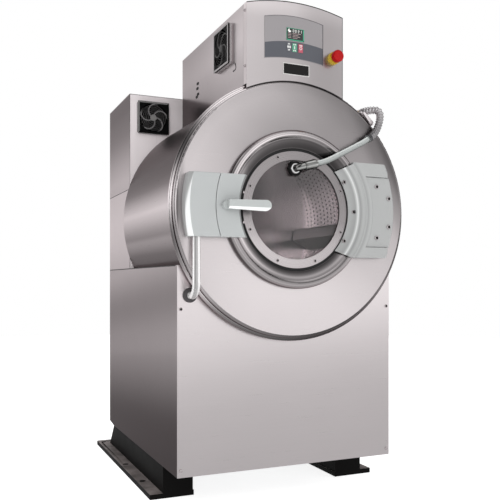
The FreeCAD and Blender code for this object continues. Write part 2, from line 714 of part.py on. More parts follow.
motor_barrel = rod("y", 0, front + motor_front + s.motor_cap, s.motor_height, s.motor_radius,
                   s.motor_length - 2 * s.motor_cap)
motor_core = rod("y", 0, front + motor_front, s.motor_height, s.motor_cap_radius, s.motor_length)
motor_bore = rod("y", 0, front + shaft_entry - s.fit, s.motor_height, s.motor_shaft + s.running_fit,
                 s.motor_shaft_depth + 1)
name("drive_motor", cut(fuse(motor_barrel, motor_core, motor_foot(-1), motor_foot(1)), motor_bore))


def belt_loop(upper, lower, depth, width):
    """A closed band round both shafts, filled, between two depths."""
    high, low = axis_z.value, s.motor_height.value
    lean = math.asin((upper - lower) / (high - low))
    side, rise = math.cos(lean), -math.sin(lean)

    def on(radius, centre, across, up):
        return Vector(radius * across, depth, centre + radius * up)

    wire = Part.Wire([
        Part.Arc(on(upper, high, -side, rise), on(upper, high, 0, 1), on(upper, high, side, rise)).toShape(),
        Part.LineSegment(on(upper, high, side, rise), on(lower, low, side, rise)).toShape(),
        Part.Arc(on(lower, low, side, rise), on(lower, low, 0, -1), on(lower, low, -side, rise)).toShape(),
        Part.LineSegment(on(lower, low, -side, rise), on(upper, high, -side, rise)).toShape(),
    ])
    return Part.Face(wire).extrude(Vector(0, width, 0))


def belt(number):
    """One drive belt in its grooves."""
    seat = s.groove_depth.value - s.belt_gap.value
    upper = s.drum_pulley_radius.value - seat
    lower = s.motor_pulley_radius.value - seat
    width = s.belt_width.value
    depth = (front + belt_depth(number)).value - width / 2
    thick = s.belt_thickness.value
    return belt_loop(upper + thick, lower + thick, depth, width).cut(belt_loop(upper, lower, depth, width))


name("drive_belts", group(*[solid(belt(number)) for number in range(BELTS)]))


# Control tower

crown_radius = (s.control_half * s.control_half + s.control_crown * s.control_crown) / (2 * s.control_crown)
crown_top = rim_top + s.control_side_rise + s.control_crown
control_foot = axis_z + s.control_foot_rise
display_bottom = rim_top + s.display_rise
key_bottom = rim_top + s.key_rise
board_bottom = rim_top + s.board_rise
estop_height = rim_top + s.estop_rise
side_fan_height = rim_top + s.side_fan_rise


def tower_block(depth, length, shrink):
    """The tower's outline, crowned on top and drawn in by shrink, between two depths."""
    half_width = s.control_half - shrink
    block = box(-half_width, front + depth, control_foot, 2 * half_width, length,
                crown_top - control_foot)
    crown = rod("y", 0, front + depth, crown_top - crown_radius, crown_radius - shrink, length)
    return common(block, crown)


rim_cut_radius = flange_radius + s.rim_clearance
hood_length = rear_front - s.seam - s.control_seam
side_fan_bore = s.side_fan_size / 2 - s.fan_rim
side_fan_hole = rod("x", -s.control_half - 1, front + s.side_fan_back, side_fan_height,
                    side_fan_bore + s.fan_barrel_wall + s.fit, s.sheet + 2)
name("control_hood", cut(tower_block(s.control_seam, hood_length, 0),
                         tower_block(s.control_seam - 1, hood_length + 1 - s.sheet, s.sheet),
                         axis_rod(s.tub_radius + s.fit, s.control_seam - 1, hood_length + 2),
                         axis_rod(rim_cut_radius, s.control_seam - 1,
                                  flange_back + s.rim_clearance - s.control_seam + 1),
                         side_fan_hole))

face_sheet_back = s.face_front + s.sheet
tray_depth = s.control_seam - s.seam - s.face_front
KEYS = {"select_key": s.select_left, "start_key": s.start_left, "stop_key": s.stop_left}


def through_panel(left, bottom, width, height):
    """A cutter for an opening through the overlay and the front sheet, wider by the fit all round."""
    return box(left - s.fit, front + s.face_front - s.overlay_plate - 1, bottom - s.fit, width + 2 * s.fit,
               s.sheet + s.overlay_plate + 2, height + 2 * s.fit)


def panel_openings():
    """Cutters for the display and the keys."""
    cutters = [through_panel(s.display_left, display_bottom, s.display_width, s.display_height)]
    return cutters + [through_panel(left, key_bottom, s.key_width, s.key_height) for left in KEYS.values()]


tray_hollow = cut(tower_block(face_sheet_back, tray_depth, s.sheet),
                  axis_rod(rim_cut_radius + s.sheet, s.face_front - 1, tray_depth + 4))
estop_hole = rod("y", s.estop_offset, front + s.face_front - 1, estop_height, s.sleeve_radius + s.fit,
                 s.sheet + 2)
apron_radius = face_radius - s.apron_inset
name("control_front_panel", cut(tower_block(s.face_front, tray_depth, 0), tray_hollow,
                                axis_rod(rim_cut_radius, face_sheet_back, tray_depth),
                                axis_rod(apron_radius, s.face_front - 1, s.sheet + 2), estop_hole,
                                *panel_openings()))

overlay_front = s.face_front - s.overlay_plate


def bowed_edge(rise, curve):
    """Corners of the overlay's bowed edge from left to right, as short straight steps."""
    corners = []
    for step in range(OVERLAY_STEPS + 1):
        share = step / OVERLAY_STEPS
        off_middle = (share - 0.5) * s.overlay_width.value
        drop = curve.value - math.sqrt(curve.value ** 2 - off_middle ** 2)
        corners.append((s.overlay_left + s.overlay_width * share, rise - drop))
    return corners


OVERLAY_STEPS = 16
overlay_outline = bowed_edge(s.overlay_top_rise, s.overlay_top_curve)
overlay_outline += reversed(bowed_edge(s.overlay_bottom_rise, s.overlay_bottom_curve))
overlay_blank = plate_across(overlay_outline, overlay_front, s.overlay_plate, rim_top)
name("control_overlay", cut(overlay_blank, *panel_openings()))

name("display_window", box(s.display_left, front + overlay_front - s.display_proud, display_bottom,
                           s.display_width, s.display_depth, s.display_height))


def key(left):
    """A push key: cap through the panel, a flange behind it that keeps it in, and a stem."""
    cap_front = overlay_front - s.key_proud
    flange = face_sheet_back + s.key_flange_gap
    cap = box(left, front + cap_front, key_bottom, s.key_width, flange - cap_front, s.key_height)
    keeper = box(left - s.key_flange, front + flange, key_bottom - s.key_flange,
                 s.key_width + 2 * s.key_flange, s.key_flange_plate, s.key_height + 2 * s.key_flange)
    stem = rod("y", left + s.key_width / 2, front + flange, key_bottom + s.key_height / 2,
               s.standoff_radius, s.key_flange_plate + s.key_stem)
    return fuse(cap, keeper, stem)


for label, left in KEYS.items():
    name(label, key(left))

board_front = face_sheet_back + s.board_standoff
board = box(s.board_left, front + board_front, board_bottom, s.board_width, s.board_plate, s.board_height)
standoffs = [rod("y", x, front + face_sheet_back, z, s.standoff_radius, s.board_standoff)
             for x in (s.board_left + s.standoff_inset, s.board_left + s.board_width - s.standoff_inset)
             for z in (board_bottom + s.standoff_inset,
                       board_bottom + s.board_height - s.standoff_inset)]
name("control_board", fuse(board, *standoffs))


def estop_rod(depth, radius, length):
    """A cylinder on the emergency stop's axis."""
    return rod("y", s.estop_offset, front + depth, estop_height, radius, length)


collar_front = s.face_front - s.collar_length
stem_bore = estop_rod(collar_front - 1, s.estop_stem + s.running_fit, s.collar_length + s.sleeve_length)
name("estop_collar", cut(fuse(estop_rod(collar_front, s.collar_radius, s.collar_length),
                              estop_rod(s.face_front, s.sleeve_radius, s.sleeve_length)), stem_bore))
head_back = collar_front - s.estop_gap
head_front = head_back - s.estop_head_length
stem_end = s.face_front + s.sleeve_length - s.estop_travel - s.estop_stem_margin
name("estop_button", turned([(0, head_front), (s.estop_head_radius, head_front),
                             (s.estop_head_radius, head_back), (s.estop_stem, head_back),
                             (s.estop_stem, stem_end), (0, stem_end)], x=s.estop_offset, z=estop_height,
                            rounds=[(s.estop_head_radius, head_front, s.estop_round)]))


# Cooling fans, made with the air flow along local Z and the wall at local zero

FAN_ARMS = 5
FAN_BLADES = 7
FAN_TILT = 40
FAN_BLADE_SHARE = 0.8


def octagon(size, corner):
    """A square outline with cut corners."""
    edge, short = size / 2, size / 2 - corner
    ring = [(edge, -short), (edge, short), (short, edge), (-short, edge), (-edge, short), (-edge, -short),
            (-short, -edge), (short, -edge)]
    return Part.Face(Part.makePolygon([Vector(x, y, 0) for x, y in ring + ring[:1]]))


def swirl_arm(bore, number):
    """One curved arm from the hub to the frame, half of a ring that passes through the centre."""
    top = s.fan_plate.value - 1
    centre = Vector(bore / 2, 0, top - s.fan_arm.value)
    ring = Part.makeCylinder(bore / 2 + s.fan_arm.value / 2, s.fan_arm.value, centre)
    ring = ring.cut(Part.makeCylinder(bore / 2 - s.fan_arm.value / 2, s.fan_arm.value, centre))
    keep = Part.makeBox(2 * bore, bore, 2 * s.fan_plate.value, Vector(-bore / 2, 0, 0))
    arm = ring.common(keep).common(Part.makeCylinder(bore + 1, 2 * s.fan_plate.value))
    arm.rotate(Vector(), Vector(0, 0, 1), 360 / FAN_ARMS * number)
    return arm


def fan_frame(size):
    """A fan's frame: cut-cornered plate, barrel through the wall, swirl arms, hub and pin."""
    bore = size / 2 - s.fan_rim.value
    barrel_radius = bore + s.fan_barrel_wall.value
    depth = s.fan_barrel_depth.value
    plate = octagon(size, s.fan_corner.value).extrude(Vector(0, 0, s.fan_plate.value))
    barrel = Part.makeCylinder(barrel_radius, depth, Vector(0, 0, -depth))
    body = plate.fuse(barrel).cut(Part.makeCylinder(bore, 2 * size, Vector(0, 0, -size)))
    hub_back = s.fan_plate.value / 3
    hub = Part.makeCylinder(s.fan_hub.value, s.fan_plate.value - hub_back, Vector(0, 0, hub_back))
    pin = Part.makeCylinder(s.fan_pin.value, depth, Vector(0, 0, hub_back - depth))
    arms = [swirl_arm(bore, number) for number in range(FAN_ARMS)]
    return body.multiFuse([hub, pin] + arms).removeSplitter()


def fan_rotor(size):
    """A fan's rotor: hub on the pin and tilted blades."""
    depth = s.fan_barrel_depth.value
    reach = size / 2 - s.fan_rim.value - s.fan_tip_gap.value
    top = s.fan_plate.value / 3 - 1
    height = depth - 2
    hub = Part.makeCylinder(s.fan_hub.value, height, Vector(0, 0, top - height))
    blades = []
    for number in range(FAN_BLADES):
        thick = s.fan_blade.value
        chord = height * FAN_BLADE_SHARE
        blade = Part.makeBox(reach, thick, chord, Vector(0, -thick / 2, -chord / 2))
        blade.rotate(Vector(), Vector(1, 0, 0), FAN_TILT)
        blade.translate(Vector(0, 0, top - height / 2))
        blade.rotate(Vector(), Vector(0, 0, 1), 360 / FAN_BLADES * number)
        blades.append(blade.common(Part.makeCylinder(reach, 4 * depth, Vector(0, 0, -2 * depth))))
    pin_bore = Part.makeCylinder(s.fan_pin.value + s.running_fit.value, 4 * depth, Vector(0, 0, -2 * depth))
    return hub.multiFuse(blades).cut(pin_bore).removeSplitter()


rear_fan_place = FreeCAD.Placement(
    Vector(rear_fan_x.value, (front + rear_front).value, rear_fan_height.value),
    FreeCAD.Rotation(Vector(1, 0, 0), 90))
side_fan_place = FreeCAD.Placement(
    Vector(-s.control_half.value, (front + s.side_fan_back).value, side_fan_height.value),
    FreeCAD.Rotation(Vector(0, 1, 0), -90))
for side_name, size, fan_place in (("rear", s.rear_fan_size.value, rear_fan_place),
                                   ("side", s.side_fan_size.value, side_fan_place)):
    for piece_name, shape in (("frame", fan_frame(size)), ("rotor", fan_rotor(size))):
        fan_piece = name(f"{side_name}_fan_{piece_name}", solid(shape))
        fan_piece.Placement = fan_place


# Door

pan_profile = [(s.pan_radius, s.pan_back), (s.pan_radius, s.bead_corner), (s.bead_outer, s.bead_front),
               (s.bead_inner, s.bead_front), (s.bead_foot, s.bead_foot_front),
               (s.well_radius, s.well_front), (s.well_radius, s.well_floor),
               (s.pan_lip_radius, s.well_floor), (s.pan_lip_radius, s.well_floor + s.pan_sheet),
               (s.well_radius + s.pan_sheet, s.well_floor + s.pan_sheet),
               (s.well_radius + s.pan_sheet, s.well_front + s.pan_sheet),
               (s.bead_foot, s.bead_foot_front + s.pan_sheet), (s.bead_inner, s.bead_front + s.pan_sheet),
               (s.bead_outer - s.pan_sheet / 2, s.bead_front + s.pan_sheet),
               (s.pan_radius - s.pan_sheet, s.bead_corner + s.pan_sheet / 2),
               (s.pan_radius - s.pan_sheet, s.pan_back)]
name("door_pan", turned(pan_profile, rounds=[(s.pan_radius, s.bead_corner, s.bead_side_round),
                                             (s.bead_outer, s.bead_front, s.bead_round),
                                             (s.bead_inner, s.bead_front, s.bead_round),
                                             (s.well_radius, s.well_front, s.well_round)]))

door_gasket_front = s.bead_front + s.pan_sheet + s.fit
door_gasket_back = s.face_front - s.fit
name("door_gasket", turned([(s.door_gasket_inner + s.door_gasket_taper, door_gasket_front),
                            (s.door_gasket_outer - s.door_gasket_taper, door_gasket_front),
                            (s.door_gasket_outer, door_gasket_back),
                            (s.door_gasket_inner, door_gasket_back)]))

glass_back = s.glass_front + s.glass_thickness
spray_height = axis_z + s.spray_rise
glass_disc = axis_rod(s.glass_radius, s.glass_front, s.glass_thickness)
spray_hole = rod("y", s.spray_x, front + s.glass_front - 1, spray_height, s.barrel_radius + s.fit,
                 s.glass_thickness + 2)
name("door_glass", cut(glass_disc, spray_hole))

seal_outer = s.well_radius - s.fit
seal_back = s.well_floor - s.fit
seal_groove = s.glass_radius + s.fit
name("glass_seal", turned([(s.ring_outer + s.fit, s.seal_front), (seal_outer, s.seal_front),
                           (seal_outer, seal_back), (s.pan_lip_radius, seal_back),
                           (s.pan_lip_radius, glass_back + s.fit), (seal_groove, glass_back + s.fit),
                           (seal_groove, s.glass_front), (s.ring_outer + s.fit, s.glass_front)]))
ring_back = s.glass_front - s.fit
name("retaining_ring", turned([(s.ring_inner, s.ring_front), (s.ring_outer, s.ring_front),
                               (s.ring_outer, ring_back), (s.ring_inner, ring_back)]))


# Hinge

hinge_depth = front + s.hinge_y
bead_seat = s.bead_front - s.arm_seat
arm_profile = [(s.arm_inner, s.arm_toe_front), (s.arm_bend, s.arm_bend_front), (s.arm_shoulder, s.arm_front),
               (s.arm_outer, s.arm_front), (s.arm_outer, s.arm_back), (s.arm_heel, s.arm_back),
               (s.arm_heel, bead_seat), (s.bead_foot, bead_seat), (s.arm_inner, s.arm_toe_back)]
arm_outline = [(s.arm_corner_x, s.arm_corner_rise), (s.arm_cut_x, s.arm_top - s.arm_cut_drop),
               (s.arm_cut_x + s.arm_cut_drop, s.arm_top), (s.hinge_x, s.arm_top), (s.hinge_x, -s.arm_bottom),
               (s.arm_cut_x, -s.arm_bottom), (s.arm_corner_x, -s.arm_corner_rise)]
arm_web = common(turned(arm_profile),
                 plate_across(arm_outline, s.arm_front - 1, s.arm_back - s.arm_front + 10))


def outer_round(start):
    """The space inside the hinge's bevelled outer round, from a depth back to the tub."""
    return turned([(0, start), (s.block_outer - s.block_bevel, start), (s.block_outer, start + s.block_bevel),
                   (s.block_outer, s.face_front), (0, s.face_front)])


def ear(bottom, height):
    """One fork ear of the hinge arm, clear of the door's bead, flat in front and round behind the pin."""
    tongue = box(s.arm_cut_x, front + s.arm_front, axis_z + bottom, s.hinge_x - s.arm_cut_x,
                 s.arm_back - s.arm_front, height)
    tongue = cut(tongue, axis_rod(s.arm_heel, bead_seat, s.arm_back - bead_seat + 1),
                 axis_rod(s.arm_shoulder, s.arm_front - 1, s.arm_back - s.arm_front + 2))
    knuckle = rod("z", s.hinge_x, hinge_depth, axis_z + bottom, s.knuckle_radius, height)
    return common(fuse(tongue, knuckle), outer_round(s.arm_front))


def seat_cut(x, rise):
    """A flat seat in the arm for one screw head."""
    return rod("y", x, front + s.arm_front - 1, axis_z + rise, s.arm_screw_radius + s.fit,
               s.arm_screw_seat - s.arm_front + 1)


ARM_SCREWS = [(s.arm_screw_x, s.arm_screw_rise), (s.arm_screw_x, -s.arm_screw_rise), (s.arm_screw_mid, 0)]
pin_foot = axis_z - s.arm_bottom + s.pin_inset
pin_length = s.arm_top + s.arm_bottom - 2 * s.pin_inset
pin_bore = rod("z", s.hinge_x, hinge_depth, pin_foot - s.fit, s.pin_radius + s.running_fit,
               pin_length + 2 * s.fit)
upper_ear = ear(s.arm_ear, s.arm_top - s.arm_ear)
lower_ear = ear(-s.arm_bottom, s.arm_bottom - s.arm_ear)
name("hinge_arm", cut(fuse(arm_web, upper_ear, lower_ear), pin_bore,
                      *[seat_cut(x, rise) for x, rise in ARM_SCREWS]))

block_window = box(0, front + s.block_front - 1, axis_z - s.block_half, s.block_outer + 1,
                   s.face_front - s.block_front + 2, 2 * s.block_half)
block_bore = rod("z", s.hinge_x, hinge_depth, axis_z - s.block_half - 1, s.pin_radius + s.running_fit,
                 2 * s.block_half + 2)
block_hollow = axis_rod(s.block_inner, s.block_front - 1, s.face_front - s.block_front + 2)
name("hinge_block", cut(common(outer_round(s.block_front), block_window), block_hollow, block_bore))
name("hinge_pin", rod("z", s.hinge_x, hinge_depth, pin_foot, s.pin_radius, pin_length))


# Latch

def latch_window(reach):
    """The band between the latch's upper and lower edges, on the left of the door."""
    return box(-reach, front + s.latch_front - 1, axis_z - s.latch_half, reach,
               s.face_front - s.latch_front + 2, 2 * s.latch_half)


housing_profile = [(s.latch_inner, s.latch_front), (latch_outer - s.latch_bevel, s.latch_front),
                   (latch_outer, s.latch_front + s.latch_bevel), (latch_outer, s.face_front),
                   (s.latch_inner, s.face_front)]
name("latch_housing", common(turned(housing_profile), latch_window(latch_outer + 1)))

bracket_seat = s.bead_front - s.bracket_seat
bracket_profile = [(s.bracket_inner, s.latch_front + s.bracket_bevel),
                   (s.bracket_inner + s.bracket_bevel, s.latch_front), (s.bracket_outer, s.latch_front),
                   (s.bracket_outer, s.bracket_back), (s.bracket_heel, s.bracket_back),
                   (s.bracket_heel, bracket_seat), (s.bracket_inner, bracket_seat)]
spindle_bore = rod("y", s.handle_x, front + s.latch_front - 1, axis_z, s.spindle_radius + s.running_fit,
                   s.bracket_back - s.latch_front + 2)
name("latch_bracket", cut(common(turned(bracket_profile), latch_window(latch_outer + 1)), spindle_bore))

hub_back = s.latch_front - s.hub_gap
lever_left = s.handle_x - s.lever_heel
lever_right = s.handle_x + s.lever_length
lever_outline = [(lever_left, -s.lever_root), (lever_right, -s.lever_tip), (lever_right, s.lever_tip),
                 (lever_left, s.lever_root)]
lever_thickness = s.lever_back - s.handle_front
lever_end = rod("y", lever_right, front + s.handle_front, axis_z, s.lever_tip, lever_thickness)


def below_bevel():
    """The space below the lever's bevelled lower front edge, as a block turned half a right angle."""
    drop = lever_thickness * math.sqrt(0.5)
    item = box(0, 0, 0, lever_right - lever_left + 2 * s.lever_tip, 2 * lever_thickness, lever_thickness)
    place(item, lever_left - 1, front + s.handle_front - drop, axis_z - s.lever_edge - drop,
          FreeCAD.Rotation(Vector(1, 0, 0), -45))
    return item


lever = fuse(plate_across(lever_outline, s.handle_front, lever_thickness), lever_end)
handle_hub = rod("y", s.handle_x, front + s.lever_back, axis_z, s.handle_hub, hub_back - s.lever_back)
spindle = rod("y", s.handle_x, front + s.lever_back, axis_z, s.spindle_radius, s.spindle_end - s.lever_back)
name("latch_handle", fuse(cut(lever, below_bevel()), handle_hub, spindle))


# Conduit of the door lock

def spot(x, depth, height):
    """A point from sizes, measured from the front panel's plane."""
    return Vector(as_size(x).value, (front + depth).value, as_size(height).value)


conduit_route = [spot(conduit_x, s.conduit_y, axis_z - s.latch_half - s.fit),
                 spot(conduit_x, s.conduit_y, conduit_foot),
                 spot(conduit_x, s.conduit_end, conduit_foot)]
conduit_path = rounded_path(conduit_route, s.conduit_bend.value)
conduit_bar = pipe(conduit_path, s.conduit_radius.value)
name("lock_conduit", solid(conduit_bar.cut(pipe(conduit_path, (s.conduit_radius - s.conduit_wall).value))))

grommet_bore = s.conduit_radius + s.fit
name("conduit_grommet", turned([(grommet_bore, -s.grommet_length),
                                (s.grommet_radius - s.grommet_length / 3, -s.grommet_length),
                                (s.grommet_radius, -s.grommet_length / 3), (s.grommet_radius, 0),
                                (s.grommet_neck, 0), (s.grommet_neck, s.grommet_neck_length),
                                (grommet_bore, s.grommet_neck_length)], x=conduit_x, z=conduit_foot))


# Spray rinse line

nut = doc.addObject("Part::Prism", "Nut")
nut.Polygon = 6
bind(nut, Circumradius=s.nut_radius, Height=s.nut_length)
place(nut, s.spray_x, front + s.glass_front - s.nut_length, spray_height, TURNS["y"])
nut_bore = rod("y", s.spray_x, front + s.glass_front - s.nut_length - 1, spray_height,
               s.barrel_radius + s.fit, s.nut_length + 2)
name("spray_nut", cut(nut, nut_bore))

elbow_turn = math.radians(s.elbow_angle.value)
elbow_way = Vector(math.cos(elbow_turn), 0, math.sin(elbow_turn))
elbow_centre = spot(s.spray_x, s.spray_plane, spray_height)
elbow_tip = elbow_centre + elbow_way * s.elbow_length.value


def elbow():
    """A bent fitting: barrel through the glass, round knee, sleeve that takes the tube."""
    route = [spot(s.spray_x, s.barrel_end, spray_height), elbow_centre, elbow_tip]
    path = rounded_path(route, s.elbow_bend.value)
    sleeve_length = s.elbow_length.value / 2
    sleeve_root = elbow_tip - elbow_way * sleeve_length
    sleeve = Part.makeCylinder(s.elbow_sleeve.value, sleeve_length, sleeve_root, elbow_way)
    socket = Part.makeCylinder((s.tube_radius + s.fit).value, sleeve_length + 1, sleeve_root, elbow_way)
    water = pipe(path, (s.tube_radius - s.tube_wall).value)
    return pipe(path, s.barrel_radius.value).fuse(sleeve).cut(water).cut(socket)


name("spray_elbow", solid(elbow()))

tube_start = elbow_centre + elbow_way * (s.elbow_length / 2 + s.fit).value
tube_knee = elbow_centre + elbow_way * s.tube_straight.value
tube_end = spot(s.hose_foot_x, s.hose_foot_y, axis_z + s.hose_foot_rise)
tube_route = [tube_start, tube_knee, spot(s.tube_bend_x, s.spray_plane, axis_z + s.tube_bend_rise), tube_end]
tube_path = rounded_path(tube_route)
tube_out = (tube_route[-1] - tube_route[-2]).normalize()
collar_length = s.tube_collar_length.value
collar_bar = Part.makeCylinder(s.tube_collar.value, collar_length, tube_end - tube_out * collar_length,
                               tube_out)
tube_bar = pipe(tube_path, s.tube_radius.value).fuse(collar_bar)
name("spray_tube", solid(tube_bar.cut(pipe(tube_path, (s.tube_radius - s.tube_wall).value))))

HOSE_TOP = Vector(40, -69, -3)
HOSE_DIP = Vector(0, -35, 0)
supply_spot = spot(supply_x, s.hose_end, supply_height)
hose_route = [tube_end + tube_out * s.fit.value, tube_end + tube_out * s.hose_lead.value,
              supply_spot + HOSE_TOP, supply_spot + HOSE_DIP, supply_spot]
hose_path = rounded_path(hose_route)


def along(path, distance):
    """The point and direction at a distance along a path."""
    for edge in path.Edges:
        if distance <= edge.Length + 0.000001:
            where = edge.getParameterByLength(min(distance, edge.Length))
            return edge.valueAt(where), edge.tangentAt(where)
        distance -= edge.Length
    return edge.valueAt(edge.LastParameter), edge.tangentAt(edge.LastParameter)


def ribbed(path):
    """A ribbed hose: straight-sided ribs through four circles each, with a plain bore."""
    pitch = path.Length / s.hose_ribs.value
    steps = [(0.0, s.hose_root.value), (0.2, s.hose_crest.value), (0.5, s.hose_crest.value),
             (0.7, s.hose_root.value)]
    stations = [(pitch * (rib + share), radius) for rib in range(int(s.hose_ribs.value))
                for share, radius in steps]
    stations.append((path.Length, s.hose_root.value))
    across = Vector(0, 1, 0)
    circles = []
    for distance, radius in stations:
        point, way = along(path, distance)
        across = (across - way * across.dot(way)).normalize()
        circle = Part.Circle(point, way, radius)
        circle.XAxis = across
        circles.append(Part.Wire([circle.toShape()]))
    skin = Part.makeLoft(circles, True, True)
    return skin.cut(pipe(path, s.hose_bore.value))


name("spray_hose", solid(ribbed(hose_path)))

supply_length = rear_front + s.supply_tail - s.hose_end - s.fit
supply_start = front + s.hose_end + s.fit
name("spray_supply_pipe", cut(rod("y", supply_x, supply_start, supply_height, s.supply_radius,
                                  supply_length),
                              rod("y", supply_x, supply_start - 1, supply_height, s.supply_bore,
                                  supply_length + 2)))


def clip():
    """A strap foot on the tub's flange, with a web out to a ring round the supply pipe."""
    centre = spot(supply_x, 0, supply_height)
    outward = Vector(centre.x, 0, centre.z - axis_z.value)
    reach = outward.Length
    turn = FreeCAD.Rotation(Vector(0, 1, 0), -math.degrees(math.atan2(outward.z, outward.x)))
    seat = (flange_radius + s.fit).value
    plate = s.clip_plate.value
    low, high = s.clip_foot_low.value, s.clip_foot_high.value
    foot = Part.makeBox(plate, s.clip_foot_length.value, low + high,
                        Vector(seat, s.clip_foot_front.value, -low))
    ring_depth = s.clip_front.value
    ring_length = s.clip_length.value
    web_front = s.clip_foot_front.value + s.clip_foot_length.value - ring_length
    web = Part.makeBox(reach - seat - s.supply_radius.value, ring_depth + 2 * ring_length - web_front, plate,
                       Vector(seat, web_front, -plate / 2))
    ring = Part.makeCylinder(s.clip_radius.value, ring_length, Vector(reach, ring_depth + ring_length, 0),
                             Vector(0, 1, 0))
    bore = Part.makeCylinder((s.supply_radius + s.fit).value, 4 * reach, Vector(reach, -2 * reach, 0),
                             Vector(0, 1, 0))
    hose_room = Part.makeCylinder((s.hose_crest + s.fit).value, 2 * reach, Vector(reach, ring_depth, 0),
                                  Vector(0, -1, 0))
    shape = foot.multiFuse([web, ring]).removeSplitter().cut(bore).cut(hose_room)
    return shape, FreeCAD.Placement(Vector(0, front.value, axis_z.value), turn)


clip_shape, clip_place = clip()
name("spray_bracket", solid(clip_shape)).Placement = clip_place


# Water and drain

def drain():
    """The drain valve: inlet under the tub, body, pipe out through the back, flange and spigot."""
    x, depth = drain_x, front + s.drain_y
    panel_back = front + s.base_depth
    fall = axis_z - s.drain_height
    stub = rod("z", x, depth, s.drain_height, s.drain_pipe, fall)
    run = rod("y", x, depth, s.drain_height, s.drain_pipe, panel_back - depth + s.fit)
    knee = doc.addObject("Part::Sphere", "Knee")
    bind(knee, Radius=s.drain_pipe)
    place(knee, x, depth, s.drain_height)
    body = box(x - s.drain_body / 2, depth - s.drain_body / 2, s.drain_body_bottom, s.drain_body,
               s.drain_body, s.drain_body_height)
    flange = rod("y", x, panel_back + s.fit, s.drain_height, s.drain_flange, s.drain_flange_plate)
    spigot = rod("y", x, panel_back + s.fit, s.drain_height, s.spigot_radius,
                 s.drain_flange_plate + s.spigot_length)
    blank = fuse(stub, run, knee, body, flange, spigot)
    stub_bore = rod("z", x, depth, s.drain_height, s.drain_bore, fall + 1)
    run_bore = rod("y", x, depth, s.drain_height, s.drain_bore,
                   panel_back - depth + s.drain_flange_plate + s.spigot_length + 5)
    return cut(blank, stub_bore, run_bore, axis_rod(s.tub_radius + s.fit, 0, s.tub_end))


name("drain_valve", drain())


def water_valve(x):
    """One inlet valve inside the rear housing, with its threaded spigot outside."""
    back = front + s.base_depth + s.fit
    half_body = s.inlet_body / 2
    neck_start = back - s.inlet_neck_length
    body = box(x - half_body, neck_start - s.inlet_body_depth, inlet_height - half_body, s.inlet_body,
               s.inlet_body_depth, s.inlet_body)
    neck = rod("y", x, neck_start, inlet_height, s.inlet_neck, s.inlet_neck_length)
    flange = rod("y", x, back, inlet_height, s.inlet_flange, s.drain_flange_plate)
    spigot = rod("y", x, back, inlet_height, s.inlet_radius, s.drain_flange_plate + s.inlet_length)
    water = rod("y", x, neck_start, inlet_height, s.inlet_bore,
                s.inlet_neck_length + s.drain_flange_plate + s.inlet_length + 1)
    return cut(fuse(body, neck, flange, spigot), water)


name("water_valves", group(water_valve(s.inlet_near), water_valve(s.inlet_far)))


# Screws

def head(axis, x, depth, z, radius, height):
    """One screw head, as a short rod."""
    return rod(axis, x, front + depth, z, radius, height)


panel_screw_x = half - s.panel_screw_inset
cabinet_heads = [head("y", side * panel_screw_x, -s.panel_screw_head, height, s.panel_screw_radius,
                      s.panel_screw_head)
                 for side in (-1, 1)
                 for height in (base_top - s.panel_screw_drop, s.base_floor + s.panel_screw_rise)]
for x, rise in ((s.block_screw_near, s.block_screw_near_rise), (s.block_screw_far, s.block_screw_far_rise)):
    for way in (-1, 1):
        cabinet_heads.append(head("y", x, s.block_front - s.block_screw_head, axis_z + way * rise,
                                  s.block_screw_radius, s.block_screw_head))
for x in (-s.control_half - s.panel_screw_head, s.control_half):
    for height in (rim_top + s.tray_high_rise, rim_top + s.tray_low_rise):
        cabinet_heads.append(head("x", x, s.tray_screw_y, height, s.tray_screw_radius, s.panel_screw_head))
name("cabinet_screws", group(*cabinet_heads))

RING_SCREWS = 8
door_heads = []
for number in range(RING_SCREWS):
    angle = math.radians(360 / RING_SCREWS * (number + 0.5))
    door_heads.append(head("y", s.ring_bolt_circle * math.cos(angle), s.ring_front - s.screw_head,
                           axis_z + s.ring_bolt_circle * math.sin(angle), s.ring_screw_radius, s.screw_head))
for x, rise in ARM_SCREWS:
    door_heads.append(head("y", x, s.arm_screw_seat - s.arm_screw_head, axis_z + rise, s.arm_screw_radius,
                           s.arm_screw_head))
name("door_screws", group(*door_heads))


# Checks and files

doc.recompute()
failed = [item.Label for item in doc.Objects if {"Invalid", "Error"} & set(item.State)]
for label, item in pieces.items():
    if item.Shape.isNull() or not item.Shape.isValid() or not item.Shape.Solids:
        failed.append(label)
if failed:
    raise RuntimeError("failed objects: " + ", ".join(failed))

os.makedirs("parts", exist_ok=True)
for label, item in pieces.items():
    item.Shape.exportStep(f"parts/{label}.step")
    print(label, len(item.Shape.Solids), "solid, volume", round(item.Shape.Volume / 1000), "cm3")
print(len(pieces), "pieces")
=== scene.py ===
"""Looks of a washer-extractor, dressed over its CAD frame. Lengths are in metres, in the part's own frame."""

import logging
import math
from dataclasses import dataclass
from enum import Enum
from typing import Callable, Protocol, Sequence

